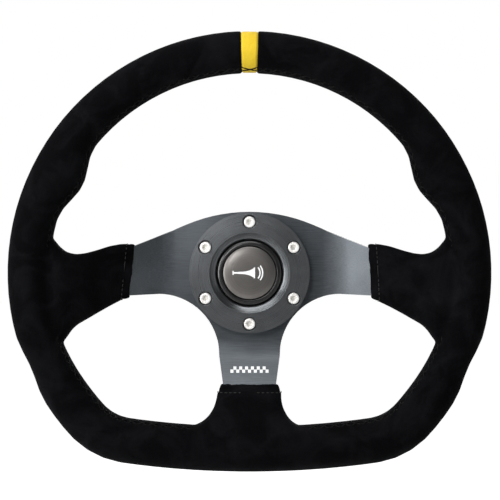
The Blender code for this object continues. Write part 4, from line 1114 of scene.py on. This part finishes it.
screw = {"head": 4.0 * mm, "shank": 2.2 * mm, "key": 2.1 * mm, "keyDepth": 2.7 * mm, "keyLip": 0.45 * mm,
         "edge": 1.0 * mm}


def makeScrews():
    low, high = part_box("hub_screw_1")
    front, back = low.y, high.y
    seat = ringFront + ring["seatFloor"] - 0.3 * mm
    head, edge = screw["head"], screw["edge"]
    profile = [(head - edge, front), (head - edge * 0.45, front + edge * 0.16),
               (head - edge * 0.12, front + edge * 0.5), (head, front + edge), (head, seat),
               (screw["shank"], seat), (screw["shank"], back - 0.5 * mm), (screw["shank"] - 0.5 * mm, back)]
    model = turnedPiece("screwModel", profile, 48, solid=True)
    cutWith(model, drilled("screwKey", screw["key"], 2 * screw["keyDepth"], 6, y=front))
    key, lip = screw["key"], screw["keyLip"]
    edges = [(key + lip, front - lip / 2), (key - lip, front + lip * 1.5)]
    cutWith(model, turnedPiece("screwLip", edges, 48, solid=True))
    roundEdges(model, 0.12 * mm, 2, 40)
    turns = random.Random(11)
    for i in range(ring["screws"]):
        node = f"hub_screw_{i + 1}"
        low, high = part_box(node)
        place = Matrix.Translation(((low.x + high.x) / 2, 0, (low.z + high.z) / 2))
        spin = Matrix.Rotation(turns.uniform(0, math.pi / 3), 4, "Y")
        piece = copyOf(model, f"hubScrew{i + 1}", place @ spin)
        finishPiece(piece, stainless, nodes=(node,))
    bpy.data.objects.remove(model)


makeRing()
makeScrews()


# ---- horn button ----

button = {"bezelOuter": 22.0 * mm, "bezelInner": 18.75 * mm, "cap": 18.3 * mm, "badge": 17.95 * mm,
          "badgeEdge": 0.45 * mm}


def makeBezel():
    low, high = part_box("horn_bezel")
    front, back = low.y, high.y
    outer, inner = button["bezelOuter"], button["bezelInner"]
    profile = [(outer - 0.35 * mm, front + 0.75 * mm), (outer, front + 1.2 * mm), (outer, back),
               (inner, back), (inner, front + 0.5 * mm), (inner + 0.35 * mm, front + 0.1 * mm),
               (inner + 1.0 * mm, front), (outer - 1.25 * mm, front + 0.15 * mm),
               (outer - 1.0 * mm, front + 0.45 * mm)]
    piece = turnedPiece("hornBezel", profile, 144)
    roundEdges(piece, 0.12 * mm, 2, 25)
    finishPiece(piece, blackPlastic, nodes=("horn_bezel",))


def makeCap():
    low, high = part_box("horn_cap")
    front, back = low.y, high.y
    cap, flange = button["cap"], high.x
    shoulder = back - 1.6 * mm
    profile = [(cap - 0.25 * mm, front), (cap, front + 0.25 * mm), (cap, shoulder), (flange, shoulder),
               (flange, back), (cap - 1.8 * mm, back), (cap - 1.8 * mm, shoulder)]
    piece = turnedPiece("hornCap", profile, 120, solid=True)
    roundEdges(piece, 0.1 * mm, 2, 40)
    finishPiece(piece, blackPlastic, "horn_button", ("horn_cap",))


def badgeFront(radius):
    # the domed face of the badge along Y
    low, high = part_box("horn_badge")
    crown = (high.y - low.y) - button["badgeEdge"]
    share = radius / button["badge"]
    return low.y + crown * (0.3 * share ** 2 + 0.7 * share ** 7)


def makeBadge():
    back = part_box("horn_badge")[1].y
    radii = [button["badge"] * i / 14 for i in range(1, 14)]
    profile = [(radius, badgeFront(radius)) for radius in radii]
    profile += [(button["badge"] - 0.12 * mm, badgeFront(button["badge"] - 0.12 * mm)),
                (button["badge"], badgeFront(button["badge"]) + 0.12 * mm), (button["badge"], back)]
    piece = turnedPiece("hornBadge", profile, 144, solid=True)
    smoothShade(piece, 50)
    finishPiece(piece, badgeMetal, "horn_button", ("horn_badge",))


makeBezel()
makeCap()
makeBadge()


# ---- horn picture on the badge ----

picture = {"thickness": 0.07 * mm, "bell": 6.4 * mm, "throat": 1.5 * mm, "length": 10.5 * mm,
           "line": 1.15 * mm}


def flatPatch(name, x, z, width, height):
    bpy.ops.mesh.primitive_grid_add(x_subdivisions=14, y_subdivisions=6, size=1, location=(0, 0, 0))
    patch = newPiece(name)
    for vert in patch.data.vertices:
        vert.co = Vector((x + vert.co.x * width, 0, z + vert.co.y * height))
    return patch


def makePicture():
    # a plain trumpet horn: a flared bell, its tube with a mouthpiece, and two sound waves
    length, throat, bell, line = picture["length"], picture["throat"], picture["bell"], picture["line"]
    flare = flatPatch("flare", 0, 0, length, 1.0)
    for vert in flare.data.vertices:
        share = vert.co.x / length + 0.5
        vert.co.z *= throat + (bell - throat) * share ** 3
        vert.co.x -= 1.0 * mm
    tube = flatPatch("tube", -length / 2 - 2.6 * mm, 0, 3.4 * mm, line)
    mouthpiece = flatPatch("mouthpiece", -length / 2 - 4.6 * mm, 0, 0.8 * mm, 2.4 * line)
    rim = flatPatch("rim", length / 2 - 0.5 * mm, 0, 0.9 * mm, bell + 1.0 * mm)
    body = joinPieces("hornPicture", [flare, tube, mouthpiece, rim])
    waves = []
    for radius in (2.6, 4.4):
        wave = flatPatch("wave", 0, 0, 1.0, 1.0)
        for vert in wave.data.vertices:
            turn = math.radians(38) * vert.co.x * 2
            reach = (radius + 3.6) * mm + vert.co.z * line * 0.75
            vert.co = Vector((2.4 * mm + reach * math.cos(turn), 0, reach * math.sin(turn)))
        waves.append(wave)
    body = joinPieces("hornPicture", [body] + waves)
    for vert in body.data.vertices:
        vert.co.x -= 1.4 * mm
        vert.co.y = badgeFront(math.hypot(vert.co.x, vert.co.z)) - picture["thickness"] / 2
    addModifier(body, "SOLIDIFY", thickness=picture["thickness"], offset=0)
    turnOutward(body)
    finishPiece(body, whitePrint, "horn_button")


makePicture()
print("hub front ready")


# ---- quick-release coupler ----

coupler = {
    "flange": 39.5 * mm, "flangeBack": 32.0 * mm, "length": 40.0 * mm, "neck": 28.0 * mm, "fillet": 1.2 * mm,
    "socket": 22.0 * mm, "socketDepth": 20.0 * mm, "chamfer": 0.8 * mm,
    "splineTip": 18.6 * mm, "splineRoot": 20.4 * mm, "splineDepth": 10.0 * mm, "teeth": 12,
    "gapHeight": 2.8 * mm,
    "web": 4.0 * mm, "webHole": 9.5 * mm, "recess": 23.0 * mm,
    "clipBack": 0.6 * mm, "clipFront": 2.7 * mm, "clipDepth": 1.4 * mm,
    "tapped": 2.45 * mm, "balls": 6, "ballHeight": 15.0 * mm, "ballHole": 4.3 * mm, "edge": 0.35 * mm,
}


def makeCoupler():
    c = coupler
    webBack = c["socketDepth"] + c["splineDepth"]
    neckInGroove = c["neck"] - c["clipDepth"]
    points = [
        (c["flange"], c["length"]), (c["flange"], c["flangeBack"]),
        (c["neck"] + c["fillet"], c["flangeBack"]),
        (c["neck"] + c["fillet"] * 0.3, c["flangeBack"] - c["fillet"] * 0.3),
        (c["neck"], c["flangeBack"] - c["fillet"]), (c["neck"], c["clipFront"]),
        (neckInGroove, c["clipFront"]),
        (neckInGroove, c["clipBack"]), (c["neck"], c["clipBack"]), (c["neck"], 0.3 * mm),
        (c["neck"] - 0.3 * mm, 0), (c["socket"] + c["chamfer"], 0), (c["socket"], c["chamfer"]),
        (c["socket"], c["socketDepth"]), (c["splineTip"], c["socketDepth"]), (c["splineTip"], webBack),
        (c["webHole"], webBack), (c["webHole"], webBack + c["web"]), (c["recess"], webBack + c["web"]),
        (c["recess"], c["length"]),
    ]
    body = turnedPiece("couplerBody", [(radius, -height) for radius, height in points], 144)
    pitch = 2 * math.pi / c["teeth"]
    gaps = []
    for i in range(1, c["teeth"]):
        # the gap at the top is left out, so the wheel goes on one way round
        bpy.ops.mesh.primitive_cube_add(size=1, location=(0, 0, 0))
        gap = newPiece("splineGap")
        size = (c["splineTip"] * pitch / 2, c["splineDepth"] + 1 * mm, c["gapHeight"])
        depth = c["socketDepth"] + c["splineDepth"] / 2 - 0.5 * mm
        place = Matrix.Translation((0, -depth, c["splineRoot"] - c["gapHeight"] / 2))
        gap.data.transform(Matrix.Rotation(pitch * i, 4, "Y") @ place @ Matrix.Diagonal((*size, 1)))
        gaps.append(gap)
    cutWith(body, joinPieces("splineGaps", gaps))
    drop = 1.5 * c["length"] + c["flangeBack"] - 1 * mm
    holes = [drilled("tappedHole", c["tapped"], 3 * c["length"], 32, x, -drop, z) for x, z in boltPlaces()]
    cutWith(body, joinPieces("tappedHoles", holes))
    holes = []
    for i in range(c["balls"]):
        bpy.ops.mesh.primitive_cylinder_add(vertices=40, radius=c["ballHole"], depth=20 * mm,
                                            location=(c["neck"], 0, 0), rotation=(0, math.radians(90), 0))
        hole = newPiece("ballHole")
        applyPlace(hole)
        turn = Matrix.Rotation(-2 * math.pi * i / c["balls"], 4, "Y")
        hole.data.transform(Matrix.Translation((0, -c["ballHeight"], 0)) @ turn)
        holes.append(hole)
    cutWith(body, joinPieces("ballHoles", holes))
    roundEdges(body, c["edge"], 2, 50)
    finishPiece(body, turnedGrey, nodes=("coupler_body",))


release = {
    "back": 2.4 * mm, "front": 22.4 * mm, "radius": 34.5 * mm, "finger": 39.8 * mm, "fingerBack": 17.9 * mm,
    "guide": 28.3 * mm, "taperTop": 16.3 * mm, "taperBack": 6.9 * mm, "relief": 30.98 * mm,
    "pocket": 31.8 * mm, "pocketFloor": 19.0 * mm, "lip": 1.8 * mm,
    "grooves": 5, "groovePitch": 2.2 * mm, "grooveDepth": 0.5 * mm, "firstGroove": 4.6 * mm,
    "notches": 24, "notchRadius": 2.6 * mm, "notchDepth": 0.9 * mm,
}


def makeRelease():
    r = release
    points = [(r["finger"] - 0.8 * mm, r["front"]), (r["finger"], r["front"] - 0.8 * mm),
              (r["finger"], r["fingerBack"] + 0.8 * mm), (r["finger"] - 0.8 * mm, r["fingerBack"]),
              (r["radius"] + 0.5 * mm, r["fingerBack"] - 0.4 * mm), (r["radius"], r["fingerBack"] - 1.5 * mm)]
    for i in reversed(range(r["grooves"])):
        at = r["firstGroove"] + r["groovePitch"] * i
        points += [(r["radius"], at + 0.6 * mm), (r["radius"] - r["grooveDepth"], at + 0.3 * mm),
                   (r["radius"] - r["grooveDepth"], at - 0.3 * mm), (r["radius"], at - 0.6 * mm)]
    lipFront = r["back"] + r["lip"]
    points += [(r["radius"], r["back"] + 0.8 * mm), (r["radius"] - 0.8 * mm, r["back"]),
               (r["guide"], r["back"]), (r["guide"], lipFront),
               (r["relief"], lipFront + 0.5 * mm), (r["relief"], r["taperBack"]),
               (r["guide"], r["taperTop"]), (r["guide"], r["pocketFloor"]), (r["pocket"], r["pocketFloor"]),
               (r["pocket"], r["front"])]
    sleeve = turnedPiece("releaseSleeve", [(radius, -height) for radius, height in points], 144)
    reach = r["finger"] + r["notchRadius"] - r["notchDepth"]
    middle = (r["front"] + r["fingerBack"]) / 2
    notches = []
    for i in range(r["notches"]):
        turn = 2 * math.pi * i / r["notches"]
        notches.append(drilled("notch", r["notchRadius"], 2 * r["fingerBack"], 24,
                               reach * math.cos(turn), -middle, reach * math.sin(turn)))
    cutWith(sleeve, joinPieces("notches", notches))
    roundEdges(sleeve, 0.25 * mm, 2, 40)
    finishPiece(sleeve, turnedRing, "release_sleeve", ("release_sleeve",))


spring = {"radius": 30.6 * mm, "wire": 1.8 * mm, "turns": 3.0, "back": 19.3 * mm, "front": 31.7 * mm,
          "pull": 7.0 * mm}


def makeSpring():
    count = round(48 * spring["turns"])
    points = []
    rise = spring["front"] - spring["back"] - spring["wire"]
    for i in range(count + 1):
        share = i / count
        turn = 2 * math.pi * spring["turns"] * share
        height = spring["back"] + spring["wire"] / 2 + rise * share
        points.append(Vector((spring["radius"] * math.cos(turn), -height, spring["radius"] * math.sin(turn))))
    piece = threadsPiece("sleeveSpring", [points], spring["wire"] / 2, 14)
    finishPiece(piece, springSteel, nodes=("sleeve_spring",))
    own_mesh(piece)


def makeSmallSprings():
    # the springs of the horn and of the contact pins, copied whole from their nodes and shaded smooth; the
    # real ones close up as what they carry is pressed
    for node, name, joint, towards, press in (
            ("horn_spring", "hornSpring", "horn_press", 1, 2.5 * mm),
            ("contact_spring_upper", "contactSpringUpper", "contact_pin_upper_press", -1, 1.5 * mm),
            ("contact_spring_lower", "contactSpringLower", "contact_pin_lower_press", -1, 1.5 * mm)):
        piece = mergedCopy(node, name)
        smoothShade(piece, 60)
        finishPiece(piece, springSteel, nodes=(node,))
        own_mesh(piece)


def makeClip():
    low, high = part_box("retaining_clip")
    inner, outer = coupler["neck"] - coupler["clipDepth"] + 0.3 * mm, high.x
    profile = [(outer, low.y), (outer, high.y), (inner, high.y), (inner, low.y)]
    clip = turnedPiece("retainingClip", profile, 120)
    bpy.ops.mesh.primitive_cube_add(size=1, location=(0, 0, 0))
    opening = newPiece("clipOpening")
    width = 2 * outer * math.sin(math.radians(12))
    size = Matrix.Diagonal((width, 8 * mm, 14 * mm, 1))
    opening.data.transform(Matrix.Translation((0, low.y, -outer)) @ size)
    cutWith(clip, opening)
    roundEdges(clip, 0.15 * mm, 2, 40)
    finishPiece(clip, springSteel, nodes=("retaining_clip",))


def makeBalls():
    for i in range(coupler["balls"]):
        node = f"lock_ball_{i + 1}"
        low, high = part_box(node)
        middle = (low + high) / 2
        bpy.ops.mesh.primitive_ico_sphere_add(subdivisions=4, radius=(high.y - low.y) / 2, location=middle)
        ball = newPiece(f"lockBall{i + 1}")
        applyPlace(ball)
        onlySelect(ball)
        bpy.ops.object.shade_smooth()
        finishPiece(ball, stainless, node, (node,))


def makeContacts():
    low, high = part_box("contact_carrier")
    radius = high.x
    carrier = turnedPiece("contactCarrier", [(radius - 0.5 * mm, high.y), (radius, high.y - 0.5 * mm),
                                             (radius, low.y), (radius - 2 * mm, low.y)], 96, solid=True)
    for label in ("upper", "lower"):
        pinLow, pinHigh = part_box(f"contact_pin_{label}")
        middle = (pinLow + pinHigh) / 2
        hollow = [(1.8 * mm, high.y + 2 * mm), (1.8 * mm, pinLow.y + 1.3 * mm),
                  (2.6 * mm, pinLow.y + 1.3 * mm), (2.6 * mm, low.y - 1 * mm)]
        bore = turnedPiece("pinBore", hollow, 40, solid=True)
        shift(bore, middle.x, 0, middle.z)
        cutWith(carrier, bore)
        tip, back = pinHigh.y, pinLow.y
        profile = [(0.5 * mm, tip), (1.1 * mm, tip - 0.25 * mm), (1.5 * mm, tip - 0.9 * mm),
                   (1.5 * mm, back + 1 * mm), (2.3 * mm, back + 1 * mm), (2.3 * mm, back)]
        pin = turnedPiece(f"contactPin{label.capitalize()}", profile, 40, solid=True)
        shift(pin, middle.x, 0, middle.z)
        smoothShade(pin, 50)
        finishPiece(pin, bareBrass, f"contact_pin_{label}", (f"contact_pin_{label}",))
    roundEdges(carrier, 0.15 * mm, 2, 40)
    finishPiece(carrier, blackPlastic, nodes=("contact_carrier",))


makeCoupler()
makeRelease()
makeSpring()
makeSmallSprings()
makeClip()
makeBalls()
makeContacts()
print("coupler ready")


# ---- finishes on the CAD nodes that stay ----

kept = {"rim_hoop": plainSteel, "horn_base": blackPlastic, "horn_seal": sealRubber}


def paintKept():
    shades = {"rivet": plainSteel, "spring": springSteel, "ball": stainless, "contact": bareBrass,
              "terminal": bareBrass, "pin": bareBrass}
    for name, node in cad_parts.items():
        material = kept.get(name)
        if material is None:
            material = next((shades[key] for key in shades if key in name), blackPlastic)
        node.data.materials.clear()
        node.data.materials.append(material)


paintKept()
